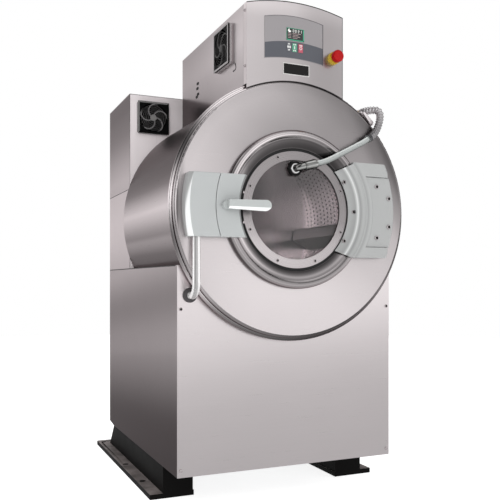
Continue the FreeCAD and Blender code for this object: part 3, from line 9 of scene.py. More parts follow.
import bmesh
import bpy
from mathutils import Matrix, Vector


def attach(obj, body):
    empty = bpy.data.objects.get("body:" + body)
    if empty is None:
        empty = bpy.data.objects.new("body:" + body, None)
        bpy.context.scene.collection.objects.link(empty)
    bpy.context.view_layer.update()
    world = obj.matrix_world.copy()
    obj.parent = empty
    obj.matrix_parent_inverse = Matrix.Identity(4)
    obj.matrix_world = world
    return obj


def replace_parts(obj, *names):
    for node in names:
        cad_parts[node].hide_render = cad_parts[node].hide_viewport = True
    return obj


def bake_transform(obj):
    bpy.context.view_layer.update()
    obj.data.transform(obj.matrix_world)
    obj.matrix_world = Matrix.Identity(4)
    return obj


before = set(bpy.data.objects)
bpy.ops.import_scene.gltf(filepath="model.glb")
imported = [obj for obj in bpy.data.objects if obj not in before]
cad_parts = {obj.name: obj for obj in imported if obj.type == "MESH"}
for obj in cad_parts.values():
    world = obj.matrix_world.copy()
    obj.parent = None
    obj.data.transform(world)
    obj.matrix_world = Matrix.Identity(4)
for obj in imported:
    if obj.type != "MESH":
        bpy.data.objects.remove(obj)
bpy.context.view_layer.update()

LOG = logging.getLogger("washer")
MM = 0.001
# Place of the base's front panel in the part's frame.
FRONT = -0.6845
# Height of the drum's axis in metres, and in millimetres.
AXIS_HEIGHT = 0.9762
AXIS = AXIS_HEIGHT / MM
# Half the cabinet's width, and the round on the edges of its sheets, in millimetres.
HALF_WIDTH = 400.0
SHEET_EDGE = 0.9
BACKWARD = Vector((0.0, 1.0, 0.0))
UPWARD = Vector((0.0, 0.0, 1.0))

Point = tuple[float, float, float]
Stops = tuple[tuple[float, float], ...]
Socket = bpy.types.NodeSocket
Face = bpy.types.MeshPolygon


class Body(Enum):
    """Bodies of the part that pieces ride on."""

    CABINET = "cabinet"
    DOOR = "door"
    DRUM = "drum"
    SELECT = "select_button"
    START = "start_button"
    STOP = "stop_button"


class Slot(Enum):
    """Material slots of the record."""

    STAINLESS = "stainless"
    POLISHED = "polished"
    RUBBER = "rubber"
    DISPLAY = "display"
    OVERLAY = "overlay"
    BLACK_PLASTIC = "black_plastic"
    WHITE_KEY = "white_key"
    PALE_TUBE = "pale_tube"


class Effect(Enum):
    """Shared surface effects, each one a node group made by the GroupMaker method of its name."""

    SHADE = "shade_along"
    ROUND = "shade_round"
    FACING = "shade_facing"
    BRUSHED = "brushed_grain"
    TURNED = "turned_grain"
    SMUDGE = "smudge"
    MOULDED = "moulded_grain"
    WEAR = "edge_wear"
    DUST = "settled_dust"


class Run(Enum):
    """How grey levels run between their stops."""

    SMOOTH = "CARDINAL"
    STRAIGHT = "LINEAR"


class FanPlace(Enum):
    """Where a cooling fan sits."""

    REAR = "rear"
    SIDE = "side"


def mm(x: float, depth: float, z: float) -> Vector:
    """A point from millimetres, with its depth measured back from the base's front panel."""
    return Vector((x * MM, depth * MM + FRONT, z * MM))


def behind(depth: float) -> Vector:
    """The way back by a depth in millimetres."""
    return depth * MM * BACKWARD


def scaled(profile: Sequence[tuple[float, float]]) -> list[tuple[float, float]]:
    """A profile's corners turned from millimetres to metres."""
    return [(radius * MM, along * MM) for radius, along in profile]


def turns(count: int, start: float = 0.0, sweep: float = 360.0) -> list[float]:
    """Even angles over a sweep in degrees, in radians."""
    return [math.radians(start + sweep * number / count) for number in range(count)]


def tone(level: float) -> float:
    """Linear light of a grey level from 0 to 255."""
    share = level / 255.0
    return share / 12.92 if share <= 0.04045 else ((share + 0.055) / 1.055) ** 2.4


def rgb(colour: Point) -> tuple[float, float, float, float]:
    """Linear colour of three levels from 0 to 255."""
    return (tone(colour[0]), tone(colour[1]), tone(colour[2]), 1.0)


class Graph:
    """A node tree with short calls that add and join nodes."""

    def __init__(self, tree: bpy.types.NodeTree) -> None:
        """Keep the tree to work on."""
        self.tree = tree

    def fill(self, node: bpy.types.Node, inputs: dict) -> None:
        """Fill a node's inputs.

        Args:
            node: The node.
            inputs: A socket to link from, or a plain value, for each input by name or number.
        """
        for key, value in inputs.items():
            if isinstance(value, Socket):
                self.tree.links.new(value, node.inputs[key])
            else:
                node.inputs[key].default_value = value

    def add(self, kind: str, inputs: dict | None = None, **settings: object) -> bpy.types.Node:
        """Add a node.

        Args:
            kind: Blender's type name of the node.
            inputs: Values or sockets for the node's inputs, by name or number.
            **settings: Properties of the node.

        Returns:
            The new node.
        """
        node = self.tree.nodes.new(kind)
        for key, value in settings.items():
            setattr(node, key, value)
        self.fill(node, inputs or {})
        return node

    def effect(self, kind: Effect, inputs: dict) -> bpy.types.Node:
        """Place a shared effect in this tree, with values or sockets for its named inputs."""
        return self.add("ShaderNodeGroup", inputs, node_tree=effect_group(kind))

    def math(self, operation: str, a: object, b: object = 0.0, c: object = 0.0) -> Socket:
        """The result of one sum on values or sockets."""
        return self.add("ShaderNodeMath", {0: a, 1: b, 2: c}, operation=operation).outputs[0]

    def vector(self, operation: str, a: object, b: object) -> Socket:
        """The result of one sum on vectors."""
        return self.add("ShaderNodeVectorMath", {0: a, 1: b}, operation=operation).outputs[0]

    def dot(self, a: object, b: object) -> Socket:
        """The dot product of two vectors."""
        return self.add("ShaderNodeVectorMath", {0: a, 1: b}, operation="DOT_PRODUCT").outputs["Value"]

    def height(self, place: Socket) -> Socket:
        """The upright part of a vector."""
        return self.add("ShaderNodeSeparateXYZ", {0: place}).outputs["Z"]

    def multiply(self, a: object, b: object) -> Socket:
        """The product of two colours."""
        return self.blend(1.0, a, b, "MULTIPLY")

    def blend(self, mask: object, a: object, b: object, kind: str = "MIX") -> Socket:
        """Colour a where the mask is 0, and its mix with colour b where it is 1."""
        mixed = self.add("ShaderNodeMix", {0: mask, 6: a, 7: b}, data_type="RGBA", blend_type=kind)
        return mixed.outputs[2]

    def spread(self, value: object, low: float, high: float, out_low: object, out_high: object) -> Socket:
        """A value moved from one range to another, and held inside it."""
        return self.add("ShaderNodeMapRange", {0: value, 1: low, 2: high, 3: out_low, 4: out_high}).outputs[0]

    def position(self) -> Socket:
        """Place on the piece, in its own frame."""
        return self.add("ShaderNodeTexCoord").outputs["Object"]

    def noise(self, place: object, scale: object, detail: float) -> Socket:
        """Fractal noise from 0 to 1 at a place."""
        return self.add("ShaderNodeTexNoise", {"Vector": place, "Scale": scale, "Detail": detail}).outputs[0]

    def ramp(self, factor: object, stops: Stops, run: Run = Run.SMOOTH) -> Socket:
        """A colour ramp of grey levels.

        Args:
            factor: The place along the ramp.
            stops: Place and grey level of each stop.
            run: How the ramp runs between its stops.

        Returns:
            The ramp's colour.
        """
        node = self.add("ShaderNodeValToRGB", {0: factor})
        elements = node.color_ramp.elements
        while len(elements) < len(stops):
            elements.new(0.5)
        for element, (place, level) in zip(elements, stops):
            element.position = place
            element.color = rgb((level, level, level))
        node.color_ramp.interpolation = run.value
        return node.outputs["Color"]


class GroupMaker:
    """Builds one effect's node group with its named inputs and outputs."""

    roughness_spread = 0.12
    ring_lines = 420.0
    rise_reach = 0.75
    wear_slope = (0.985, 0.80)
    wear_noise = 90.0
    dust_and_sheen_slope = (0.4, 1.0)
    dust_and_sheen_noise = 14.0

    def __init__(self, kind: Effect) -> None:
        """Start an empty group.

        Args:
            kind: The effect that it is for.
        """
        self.tree = bpy.data.node_groups.new(kind.value, "ShaderNodeTree")
        self.graph = Graph(self.tree)
        self.source = self.tree.nodes.new("NodeGroupInput")
        self.target = self.tree.nodes.new("NodeGroupOutput")

    def take(self, name: str, kind: str = "NodeSocketFloat") -> Socket:
        """Add a named input and return its socket inside the group."""
        self.tree.interface.new_socket(name, in_out="INPUT", socket_type=kind)
        return self.source.outputs[name]

    def take_vector(self, name: str) -> Socket:
        """Add a named input for a vector."""
        return self.take(name, "NodeSocketVector")

    def give(self, name: str, value: Socket) -> None:
        """Add a named output and fill it."""
        self.tree.interface.new_socket(name, in_out="OUTPUT", socket_type="NodeSocketFloat")
        self.tree.links.new(value, self.target.inputs[name])

    def give_tone(self, noise: Socket) -> Socket:
        """Add the tone that noise gives.

        Args:
            noise: The noise, from 0 to 1.

        Returns:
            The noise about 0.
        """
        centred = self.graph.math("SUBTRACT", noise, 0.5)
        self.give("Tone", self.graph.math("MULTIPLY_ADD", centred, self.take("Strength"), 1.0))
        return centred

    def give_grain(self, lines: Socket) -> None:
        """Turn fine lines from 0 to 1 into tone, roughness and height.

        Args:
            lines: The lines.
        """
        centred = self.give_tone(lines)
        rough = self.graph.math("MULTIPLY_ADD", centred, self.roughness_spread, self.take("Roughness"))
        self.give("Roughness", rough)
        self.give("Height", lines)

    def away(self) -> tuple[Socket, Socket]:
        """The way out from the drum's axis to a place.

        Returns:
            The way, and its length.
        """
        flat = self.graph.vector("MULTIPLY", self.take_vector("Position"), (1.0, 0.0, 1.0))
        way = self.graph.vector("SUBTRACT", flat, (0.0, 0.0, AXIS_HEIGHT))
        length = self.graph.add("ShaderNodeVectorMath", {0: way}, operation="LENGTH")
        return way, length.outputs["Value"]

    def shade_along(self) -> None:
        """Place along a line, from 0 at its start to 1 at its end."""
        graph = self.graph
        place = self.take_vector("Position")
        start = self.take_vector("Start")
        line = graph.vector("SUBTRACT", self.take_vector("End"), start)
        reach = graph.dot(graph.vector("SUBTRACT", place, start), line)
        self.give("Factor", graph.math("DIVIDE", reach, graph.dot(line, line)))

    def shade_round(self) -> None:
        """Place out from the drum's axis, and height from 0 at the bottom to 1 at the top."""
        graph = self.graph
        way, radius = self.away()
        inner = self.take("Inner")
        outer = self.take("Outer")
        reach = graph.math("SUBTRACT", radius, inner)
        self.give("Factor", graph.math("DIVIDE", reach, graph.math("SUBTRACT", outer, inner)))
        height = graph.math("DIVIDE", graph.height(way), outer)
        self.give("Rise", graph.spread(height, -self.rise_reach, self.rise_reach, 0.0, 1.0))

    def shade_facing(self) -> None:
        """How far a surface turns to a direction of the piece: 0 where it faces away, 1 where it faces it."""
        normal = self.graph.add("ShaderNodeTexCoord").outputs["Normal"]
        facing = self.graph.dot(normal, self.take_vector("Direction"))
        self.give("Factor", self.graph.math("MULTIPLY_ADD", facing, 0.5, 0.5))

    def brushed_grain(self) -> None:
        """Straight brushing lines of rolled sheet."""
        place = self.take_vector("Position")
        pulled = self.graph.vector("MULTIPLY", place, self.take_vector("Stretch"))
        self.give_grain(self.graph.noise(pulled, 1.0, 4.0))

    def turned_grain(self) -> None:
        """Round polishing lines about the drum's axis."""
        _, radius = self.away()
        along = self.graph.math("MULTIPLY", radius, self.ring_lines)
        rings = self.graph.add("ShaderNodeCombineXYZ", {"X": along})
        self.give_grain(self.graph.noise(rings.outputs[0], 1.0, 4.0))

    def smudge(self) -> None:
        """Broad soft patches: painted room reflections on steel, wiped marks on glass, and uneven tone on
        coats.
        """
        patches = self.graph.noise(self.take_vector("Position"), self.take("Scale"), 2.0)
        self.give_tone(patches)
        self.give("Mask", patches)

    def moulded_grain(self) -> None:
        """Fine even texture of a coat, moulding or casting."""
        fine = self.graph.noise(self.take_vector("Position"), self.take("Scale"), 3.0)
        self.give_tone(fine)
        self.give("Height", fine)

    def edge_wear(self) -> None:
        """Edges rubbed bare, broken up by noise."""
        graph = self.graph
        place = self.take_vector("Position")
        rounded = graph.add("ShaderNodeBevel", {"Radius": self.take("Radius")}, samples=4).outputs[0]
        level = graph.dot(rounded, graph.add("ShaderNodeNewGeometry").outputs["Normal"])
        edge = graph.spread(level, *self.wear_slope, 0.0, 1.0)
        broken = graph.spread(graph.noise(place, self.wear_noise, 3.0), 0.35, 0.65, 0.15, 1.0)
        self.give("Mask", graph.math("MULTIPLY", edge, broken))

    def settled_dust(self) -> None:
        """Dust on what faces up, which also serves as a painted sheen of light from above."""
        graph = self.graph
        place = self.take_vector("Position")
        rise = graph.height(graph.add("ShaderNodeNewGeometry").outputs["Normal"])
        lying = graph.spread(rise, *self.dust_and_sheen_slope, 0.0, self.take("Strength"))
        uneven = graph.spread(graph.noise(place, self.dust_and_sheen_noise, 4.0), 0.3, 0.7, 0.35, 1.0)
        self.give("Mask", graph.math("MULTIPLY", lying, uneven))


def effect_group(kind: Effect) -> bpy.types.NodeTree:
    """The node group of an effect, built on its first use.

    Args:
        kind: The effect.

    Returns:
        The group.
    """
    found = bpy.data.node_groups.get(kind.value)
    if found is None:
        maker = GroupMaker(kind)
        getattr(maker, kind.value)()
        found = maker.tree
    return found


class Tones(Protocol):
    """Painted light and shade: grey levels that run over a piece in place of its reflections and shadows."""

    def colour(self, graph: Graph, place: Socket) -> Socket:
        """The level at a place."""


@dataclass(frozen=True)
class Shade:
    """A run of painted reflected light and shade along a line on a piece."""

    start: Point
    end: Point
    stops: Stops

    def colour(self, graph: Graph, place: Socket) -> Socket:
        """The level at a place."""
        along = graph.effect(Effect.SHADE, {"Position": place, "Start": self.start, "End": self.end})
        return graph.ramp(along.outputs["Factor"], self.stops)


@dataclass(frozen=True)
class RoundShade:
    """Painted light and shade in rings round the drum's axis, for a piece's top and bottom; radii in
    millimetres.
    """

    top: Stops
    bottom: Stops

    def colour(self, graph: Graph, place: Socket) -> Socket:
        """The level at a place.

        Args:
            graph: The material's graph.
            place: Place on the piece.

        Returns:
            The level, blended from bottom to top.
        """
        inner, outer = self.top[0][0], self.top[-1][0]
        away = graph.effect(Effect.ROUND, {"Position": place, "Inner": inner * MM, "Outer": outer * MM})
        ramps = []
        for stops in (self.bottom, self.top):
            shares = tuple(((radius - inner) / (outer - inner), level) for radius, level in stops)
            ramps.append(graph.ramp(away.outputs["Factor"], shares, Run.STRAIGHT))
        return graph.blend(away.outputs["Rise"], *ramps)


@dataclass(frozen=True)
class FacingShade:
    """Painted highlights and shade round a bar or pipe, by how far it faces a direction."""

    direction: Point
    stops: Stops

    def colour(self, graph: Graph, place: Socket) -> Socket:
        """The level there, which rests on the surface's direction alone."""
        facing = graph.effect(Effect.FACING, {"Direction": self.direction})
        return graph.ramp(facing.outputs["Factor"], self.stops, Run.STRAIGHT)


@dataclass(frozen=True)
class Finish:
    """A surface that is made into a material on its first use."""

    name: str

    def material(self) -> bpy.types.Material:
        """The finish as a material.

        Returns:
            The material.
        """
        found = bpy.data.materials.get(self.name)
        if found is None:
            found = bpy.data.materials.new(self.name)
            found.use_nodes = True
            self.fill(Graph(found.node_tree), found.node_tree.nodes["Principled BSDF"])
        return found

    def fill(self, graph: Graph, shader: bpy.types.Node) -> None:
        """Join the surface's detail to its shader."""
        raise NotImplementedError

    def relieved(self, graph: Graph, height: Socket, strength: float) -> Socket:
        """The normal of a surface with a fine relief."""
        bump = graph.add("ShaderNodeBump", {"Strength": strength, "Distance": MM, "Height": height})
        return bump.outputs["Normal"]


@dataclass(frozen=True)
class Steel(Finish):
    """Sheet steel with straight or round lines, and painted runs of reflected light and shade over it."""

    shades: tuple[Tones, ...] = ()
    stretch: Point = (5.0, 5.0, 420.0)
    turned: bool = False
    grain: float = 0.04
    smudge: float = 0.06
    smudge_and_reflection_scale: float = 3.5
    roughness: float = 0.30
    relief: float = 0.03
    edge_tint: float = 0.9
    metallic: float = 1.0
    tint: Point = (1.0, 0.93, 0.942)

    def fill(self, graph: Graph, shader: bpy.types.Node) -> None:
        """Join the lines, the smudges with their painted reflections, and the painted runs of light and shade
        to the shader.

        Args:
            graph: The material's graph.
            shader: Its shader.
        """
        place = graph.position()
        inputs = {"Position": place, "Strength": self.grain, "Roughness": self.roughness}
        if not self.turned:
            inputs["Stretch"] = self.stretch
        grain = graph.effect(Effect.TURNED if self.turned else Effect.BRUSHED, inputs).outputs
        smudge = graph.effect(Effect.SMUDGE, {"Position": place, "Scale": self.smudge_and_reflection_scale,
                                              "Strength": self.smudge})
        colour = graph.math("MULTIPLY", grain["Tone"], smudge.outputs["Tone"])
        colour = graph.multiply(colour, self.tint + (1.0,))
        for shade in self.shades:
            colour = graph.multiply(colour, shade.colour(graph, place))
        graph.fill(shader, {"Base Color": colour, "Roughness": grain["Roughness"],
                            "Normal": self.relieved(graph, grain["Height"], self.relief),
                            "Metallic": self.metallic,
                            "Specular Tint": tuple(self.edge_tint * t for t in self.tint) + (1.0,)})


@dataclass(frozen=True)
class Coat(Finish):
    """Paint, plastic, rubber or cast metal with a fine texture, wear, and dust that also serves as a painted
    sheen on what faces up.
    """

    colour: Point = (0, 0, 0)
    roughness: float = 0.45
    metallic: float = 0.0
    clear: float = 0.0
    texture: float = 700.0
    mottle: float = 0.16
    patch_scale: float = 9.0
    relief: float = 0.08
    worn: Point | None = None
    wear_reach: float = 0.0016
    dust: float = 0.0
    dust_and_sheen_tone: Point = (122, 116, 110)
    glow: float = 0.0
    specular: float = 0.5
    uneven: float = 0.05

    def fill(self, graph: Graph, shader: bpy.types.Node) -> None:
        """Join the texture, the wear, and the dust with its painted sheen to the shader.

        Args:
            graph: The material's graph.
            shader: Its shader.
        """
        place = graph.position()
        grain = graph.effect(Effect.MOULDED, {"Position": place, "Scale": self.texture,
                                              "Strength": self.mottle}).outputs
        patches = graph.effect(Effect.SMUDGE, {"Position": place, "Scale": self.patch_scale,
                                               "Strength": self.mottle}).outputs
        level = graph.math("MULTIPLY", grain["Tone"], patches["Tone"])
        colour = graph.multiply(rgb(self.colour), level)
        if self.worn is not None:
            wear = graph.effect(Effect.WEAR, {"Position": place, "Radius": self.wear_reach})
            colour = graph.blend(wear.outputs["Mask"], colour, rgb(self.worn))
        if self.dust > 0.0:
            dust = graph.effect(Effect.DUST, {"Position": place, "Strength": self.dust})
            colour = graph.blend(dust.outputs["Mask"], colour, rgb(self.dust_and_sheen_tone))
        rough = graph.spread(patches["Mask"], 0.2, 0.8, self.roughness - self.uneven,
                             self.roughness + self.uneven)
        graph.fill(shader, {"Base Color": colour, "Roughness": rough,
                            "Normal": self.relieved(graph, grain["Height"], self.relief),
                            "Metallic": self.metallic, "Specular IOR Level": self.specular,
                            "Coat Weight": self.clear})
        if self.glow > 0.0:
            graph.fill(shader, {"Emission Color": colour, "Emission Strength": self.glow})


@dataclass(frozen=True)
class Glass(Finish):
    """Clear toughened glass with faint wiped marks."""

    tint: Point = (0.97, 0.945, 0.955)
    index: float = 1.45
    mark_scale: float = 14.0
    clean: float = 0.01
    smeared: float = 0.06

    def fill(self, graph: Graph, shader: bpy.types.Node) -> None:
        """Join the wiped marks to the shader.

        Args:
            graph: The material's graph.
            shader: Its shader.
        """
        marks = graph.effect(Effect.SMUDGE, {"Position": graph.position(), "Scale": self.mark_scale,
                                             "Strength": 1.0})
        wiped = graph.spread(marks.outputs["Mask"], 0.35, 0.75, self.clean, self.smeared)
        graph.fill(shader, {"Roughness": wiped, "Base Color": self.tint + (1.0,),
                            "Transmission Weight": 1.0, "IOR": self.index})


@dataclass(frozen=True)
class FloorPaint(Finish):
    """The studio's pale floor, dimmer where metal mirrors it."""

    pale: float = 0.82
    mirrored: float = 0.62
    glow: float = 1.05
    roughness: float = 0.9
    mottle: float = 0.03
    mottle_scale: float = 6.0

    def fill(self, graph: Graph, shader: bpy.types.Node) -> None:
        """Join a faint mottle to the shader, and a dimmer light for mirrored rays.

        Args:
            graph: The material's graph.
            shader: Its shader.
        """
        grain = graph.effect(Effect.MOULDED, {"Position": graph.position(), "Scale": self.mottle_scale,
                                              "Strength": self.mottle})
        colour = graph.multiply((self.pale,) * 3 + (1.0,), grain.outputs["Tone"])
        graph.fill(shader, {"Base Color": colour, "Emission Color": colour, "Emission Strength": self.glow,
                            "Roughness": self.roughness})
        dim = graph.add("ShaderNodeEmission", {"Color": (self.mirrored,) * 3 + (1.0,), "Strength": 1.0})
        glossy = graph.add("ShaderNodeLightPath").outputs["Is Glossy Ray"]
        both = graph.add("ShaderNodeMixShader", {0: glossy, 1: shader.outputs[0], 2: dim.outputs[0]})
        graph.fill(graph.tree.nodes["Material Output"], {"Surface": both.outputs[0]})


def upright(low: float, high: float, *stops: tuple[float, float]) -> Shade:
    """A shade that runs up from one height to another."""
    return Shade((0.0, 0.0, low), (0.0, 0.0, high), stops)


def across(left: float, right: float, *stops: tuple[float, float]) -> Shade:
    """A shade that runs from left to right."""
    return Shade((left, 0.0, 0.0), (right, 0.0, 0.0), stops)


def even(level: float) -> Shade:
    """One level all over."""
    return upright(0.0, 2.0, (0.0, level), (1.0, level))


def steel(name: str, *shades: Tones, **traits: object) -> Steel:
    """A steel with its runs of light."""
    return Steel(name, shades, **traits)


def plastic(name: str, colour: Point, roughness: float = 0.45, relief: float = 0.05, **traits: float) -> Coat:
    """A moulded plastic."""
    return Coat(name, colour, roughness, texture=1100.0, relief=relief, **traits)


def film(name: str, colour: Point, roughness: float = 0.35, mottle: float = 0.05, relief: float = 0.03,
         **traits: float) -> Coat:
    """A printed film."""
    return Coat(name, colour, roughness, texture=1600.0, mottle=mottle, relief=relief, **traits)


UP_GRAIN = (420.0, 420.0, 5.0)
ROUND_GRAIN = (420.0, 5.0, 420.0)
DRUM_GRAIN = (60.0, 5.0, 60.0)
PAINT_GRAIN = (300.0, 300.0, 300.0)

# Most shades in the steels below are painted light: grey levels that stand for the reflections, highlights
# and shade on each piece.
FRONT_PANEL = steel("front_panel_steel", Shade(
    (0.06, 0.0, 0.115), (-0.07, 0.0, 0.79), ((0.0, 213), (0.4, 220), (0.55, 229), (0.7, 240), (1.0, 245))))
SIDE_PANEL = steel("side_panel_steel", Shade(
    (0.0, -0.2045, 0.115), (0.0, -0.1404, 0.79),
    ((0.0, 90), (0.25, 120), (0.5, 186), (0.6, 190), (0.75, 160), (0.87, 172), (1.0, 205))),
    stretch=UP_GRAIN, edge_tint=0.55)
BACK_PANEL = steel("back_panel_steel", upright(0.115, 0.79, (0.0, 150), (0.5, 190), (1.0, 175)))
SKIRT = steel("skirt_steel", upright(0.79, 1.105, (0.0, 180), (0.25, 197), (0.6, 207), (1.0, 196)),
              stretch=UP_GRAIN)
HOOD = steel("hood_steel", upright(1.105, 1.484, (0.0, 220), (0.17, 216), (0.5, 166), (0.8, 131), (1.0, 126)),
             stretch=UP_GRAIN, edge_tint=0.55)
HOOD_TOP = steel("hood_top_steel", across(-0.4, 0.4, (0.0, 205), (0.5, 190), (1.0, 205)))
REAR_FRONT = steel("rear_front_steel", Shade(
    (-0.36, 0.0, 1.36), (-0.21, 0.0, 1.484), ((0.0, 248), (0.5, 245), (0.75, 242), (1.0, 222))),
    stretch=UP_GRAIN, metallic=0.15)
TOWER_SIDE = steel(
    "tower_side_steel",
    upright(1.40, 1.65, (0.0, 185), (0.4, 216), (0.6, 226), (1.0, 212)),
    Shade((0.0, FRONT, 0.0), (0.0, FRONT + 0.52, 0.0), ((0.0, 255), (0.5, 222), (1.0, 196))),
    # Painted shade: the tower's side goes dark below a slanted line near its foot.
    Shade((0.0, -0.2028, 1.4028), (0.0, -0.2262, 1.4792),
          ((0.0, 105), (0.42, 125), (0.5, 185), (0.62, 255), (1.0, 255))),
    stretch=UP_GRAIN)
TOWER_FRONT = steel(
    "tower_front_steel",
    across(-0.18, 0.18, (0.0, 255), (0.22, 248), (0.5, 236), (0.64, 220), (0.8, 212), (1.0, 216)),
    upright(1.40, 1.65, (0.0, 212), (0.4, 220), (0.8, 228), (1.0, 255)),
    stretch=UP_GRAIN)
TUB_WALL = steel("tub_wall_steel", upright(
    0.5587, 1.3937, (0.0, 95), (0.33, 150), (0.38, 192), (0.41, 174), (0.49, 242), (0.52, 242), (0.6, 155),
    (0.74, 122), (0.83, 130), (1.0, 165)), stretch=ROUND_GRAIN, smudge=0.03, edge_tint=0.5)
# Painted highlight lines and shade on the tub's rim, flange and rounded face edge, darker towards the right.
RIM_SIDES = across(-0.15, 0.2, (0.0, 255), (0.5, 190), (1.0, 165))
TUB_FLANGE = steel("tub_flange_steel", upright(
    0.539, 1.413, (0.0, 118), (0.06, 135), (0.13, 178), (0.21, 240), (0.29, 172), (0.42, 138), (0.54, 255),
    (0.67, 128), (0.79, 134), (0.88, 255), (1.0, 255)), RIM_SIDES, turned=True, roughness=0.2, grain=0.03)
TUB_EDGE = steel(
    "tub_edge_steel",
    upright(0.539, 1.413, (0.0, 160), (0.06, 172), (0.13, 200), (0.21, 240), (0.29, 210), (0.42, 190),
            (0.54, 255), (0.67, 222), (0.79, 225), (0.88, 255), (1.0, 255)),
    RIM_SIDES,
    RoundShade(top=((417, 250), (419.5, 235), (421, 205), (423, 255), (425, 250), (427, 180)),
               bottom=((417, 255), (419.5, 235), (421, 205), (423, 240), (425, 225), (427, 185))),
    turned=True, roughness=0.2, grain=0.03)
# Painted shade: the tub's inner wall is the same steel, made dark as it lies unlit.
TUB_INSIDE_SHADE = steel("tub_inside_painted_shade", upright(0.56, 1.4, (0.0, 74), (1.0, 60)), roughness=0.4)
TUB_FACE = steel(
    "tub_face_steel",
    Shade((-0.27, 0.0, 0.65), (0.27, 0.0, 1.30),
          ((0.0, 243), (0.33, 239), (0.5, 222), (0.62, 210), (0.8, 192), (0.9, 164), (1.0, 134))),
    across(-0.42, -0.15, (0.0, 230), (0.5, 245), (1.0, 255)),
    # Painted reflection of the latch housing: a dark band along the face's far left.
    across(-0.427, -0.385, (0.0, 120), (0.3, 130), (0.45, 200), (0.75, 235), (1.0, 255)),
    RoundShade(top=((262, 212), (284, 221), (317, 233), (350, 244), (385, 255)),
               bottom=((262, 255), (385, 255))),
    Shade((0.33, 0.0, 1.0), (0.42, 0.0, 1.04),
          ((0.0, 255), (0.2, 248), (0.45, 228), (0.78, 212), (1.0, 178))),
    smudge=0.03)
# Painted reflections: bright and dark rings on the dished pan, darker towards its upper right.
DOOR_PAN = steel(
    "door_pan_steel",
    RoundShade(
        top=((203, 140), (207, 90), (213, 95), (219, 105), (225, 120), (228, 130), (231, 120), (234, 150),
             (236.5, 215), (240, 185), (243, 215), (246, 255), (248.5, 195), (251.5, 225), (256, 200),
             (260, 180), (261.5, 95), (262.6, 85)),
        bottom=((203, 115), (207, 100), (213, 140), (219, 185), (224, 245), (227, 255), (230, 225),
                (234, 205), (238, 165), (241, 140), (246, 150), (250, 165), (255, 185), (259, 190),
                (261, 110), (262.6, 95))),
    Shade((0.05, 0.0, 1.05), (0.2, 0.0, 1.2), ((0.0, 255), (0.5, 215), (1.0, 170))),
    turned=True, grain=0.03, roughness=0.13)
RING = steel(
    "retaining_ring_steel",
    upright(0.78, 1.17, (0.0, 214), (0.2, 213), (0.27, 202), (0.39, 180), (0.5, 174), (0.62, 168),
            (0.84, 164), (1.0, 161)),
    across(-0.19, 0.19, (0.0, 255), (0.5, 248), (1.0, 228)), turned=True, grain=0.08, roughness=0.28)
# Painted streaks of reflected light across the drum's inside and its lifters.
DRUM = steel("drum_steel", across(
    -0.38, 0.38, (0.0, 235), (0.3, 222), (0.42, 180), (0.6, 205), (0.72, 245), (0.82, 196), (0.94, 188),
    (0.975, 245), (1.0, 252)), grain=0.12, smudge=0.22, roughness=0.24, stretch=DRUM_GRAIN)
LIFTER = steel("drum_lifter_steel", across(-0.38, 0.38, (0.0, 150), (1.0, 160)), grain=0.10, smudge=0.2,
               stretch=DRUM_GRAIN)
CHROME = steel("polished_chrome", even(225), grain=0.02, roughness=0.08, edge_tint=1.0, tint=(1.0, 1.0, 1.0))
BRIGHT = steel("bright_steel_bar", even(215), grain=0.08, roughness=0.25)
# Painted highlights and reflections: bright and dark bands on the hose, the conduit, the elbow and the tube.
HOSE = steel("hose_chrome", upright(1.25, 1.36, (0.0, 162), (0.4, 190), (1.0, 228)), grain=0.03, smudge=0.5,
             roughness=0.14, metallic=0.8, tint=(1.0, 0.965, 0.985))
STRAP = steel("strap_steel", even(228), roughness=0.32, metallic=0.4)
CONDUIT = steel("conduit_steel", FacingShade(
    (0.92, -0.39, 0.0), ((0.0, 200), (0.06, 255), (0.2, 255), (0.32, 165), (0.5, 180), (0.68, 185),
                         (0.8, 255), (0.94, 255), (1.0, 190))),
    stretch=UP_GRAIN, roughness=0.26, metallic=0.5, tint=(1.0, 0.985, 0.985))
ELBOW = steel("elbow_chrome", FacingShade(
    (-0.24, 0.0, 0.97), ((0.0, 45), (0.12, 70), (0.22, 170), (0.35, 215), (0.5, 125), (0.62, 165),
                         (0.75, 210), (0.88, 95), (1.0, 45))),
    smudge=0.5, roughness=0.12, tint=(1.0, 1.0, 0.98))
TUBE = steel("tube_sleeve", FacingShade(
    (-0.42, 0.0, 0.91), ((0.0, 110), (0.2, 140), (0.5, 172), (0.72, 184), (0.86, 235), (0.94, 255),
                         (1.0, 170))),
    grain=0.03, roughness=0.24, metallic=0.1, tint=(0.955, 1.0, 0.985))
# Grey hinge paint with painted highlight and shade rings that stand for a curved ridge between arm and block.
HINGE_HIGHLIGHT_STOPS = ((187, 170), (205, 163), (219, 152), (224, 190), (227, 215), (231, 175), (235, 148), (243, 176),
               (251, 173), (259, 150), (268, 170), (300, 168))
HINGE_PAINT_AND_HIGHLIGHTS = steel("hinge_paint_and_highlights", RoundShade(HINGE_HIGHLIGHT_STOPS, HINGE_HIGHLIGHT_STOPS), stretch=PAINT_GRAIN, grain=0.05,
                    smudge=0.04, roughness=0.34, metallic=0.0, tint=(0.985, 1.0, 0.995))
# Painted highlight: the latch housing's outer side is white at the front and grey at the back.
LATCH_SIDE_HIGHLIGHT = steel("latch_side_painted_highlight", Shade(
    (0.0, -0.7546, 0.9690), (0.0, -0.7704, 0.9670), ((0.0, 160), (0.4, 170), (0.65, 232), (1.0, 240))),
    stretch=PAINT_GRAIN, smudge=0.03, metallic=0.0, tint=(0.985, 1.0, 0.998))
FAN_SIDE = steel("fan_side_coat", across(-0.194, -0.180, (0.0, 14), (0.42, 14), (0.52, 165), (1.0, 172)),
                 stretch=UP_GRAIN, metallic=0.0)

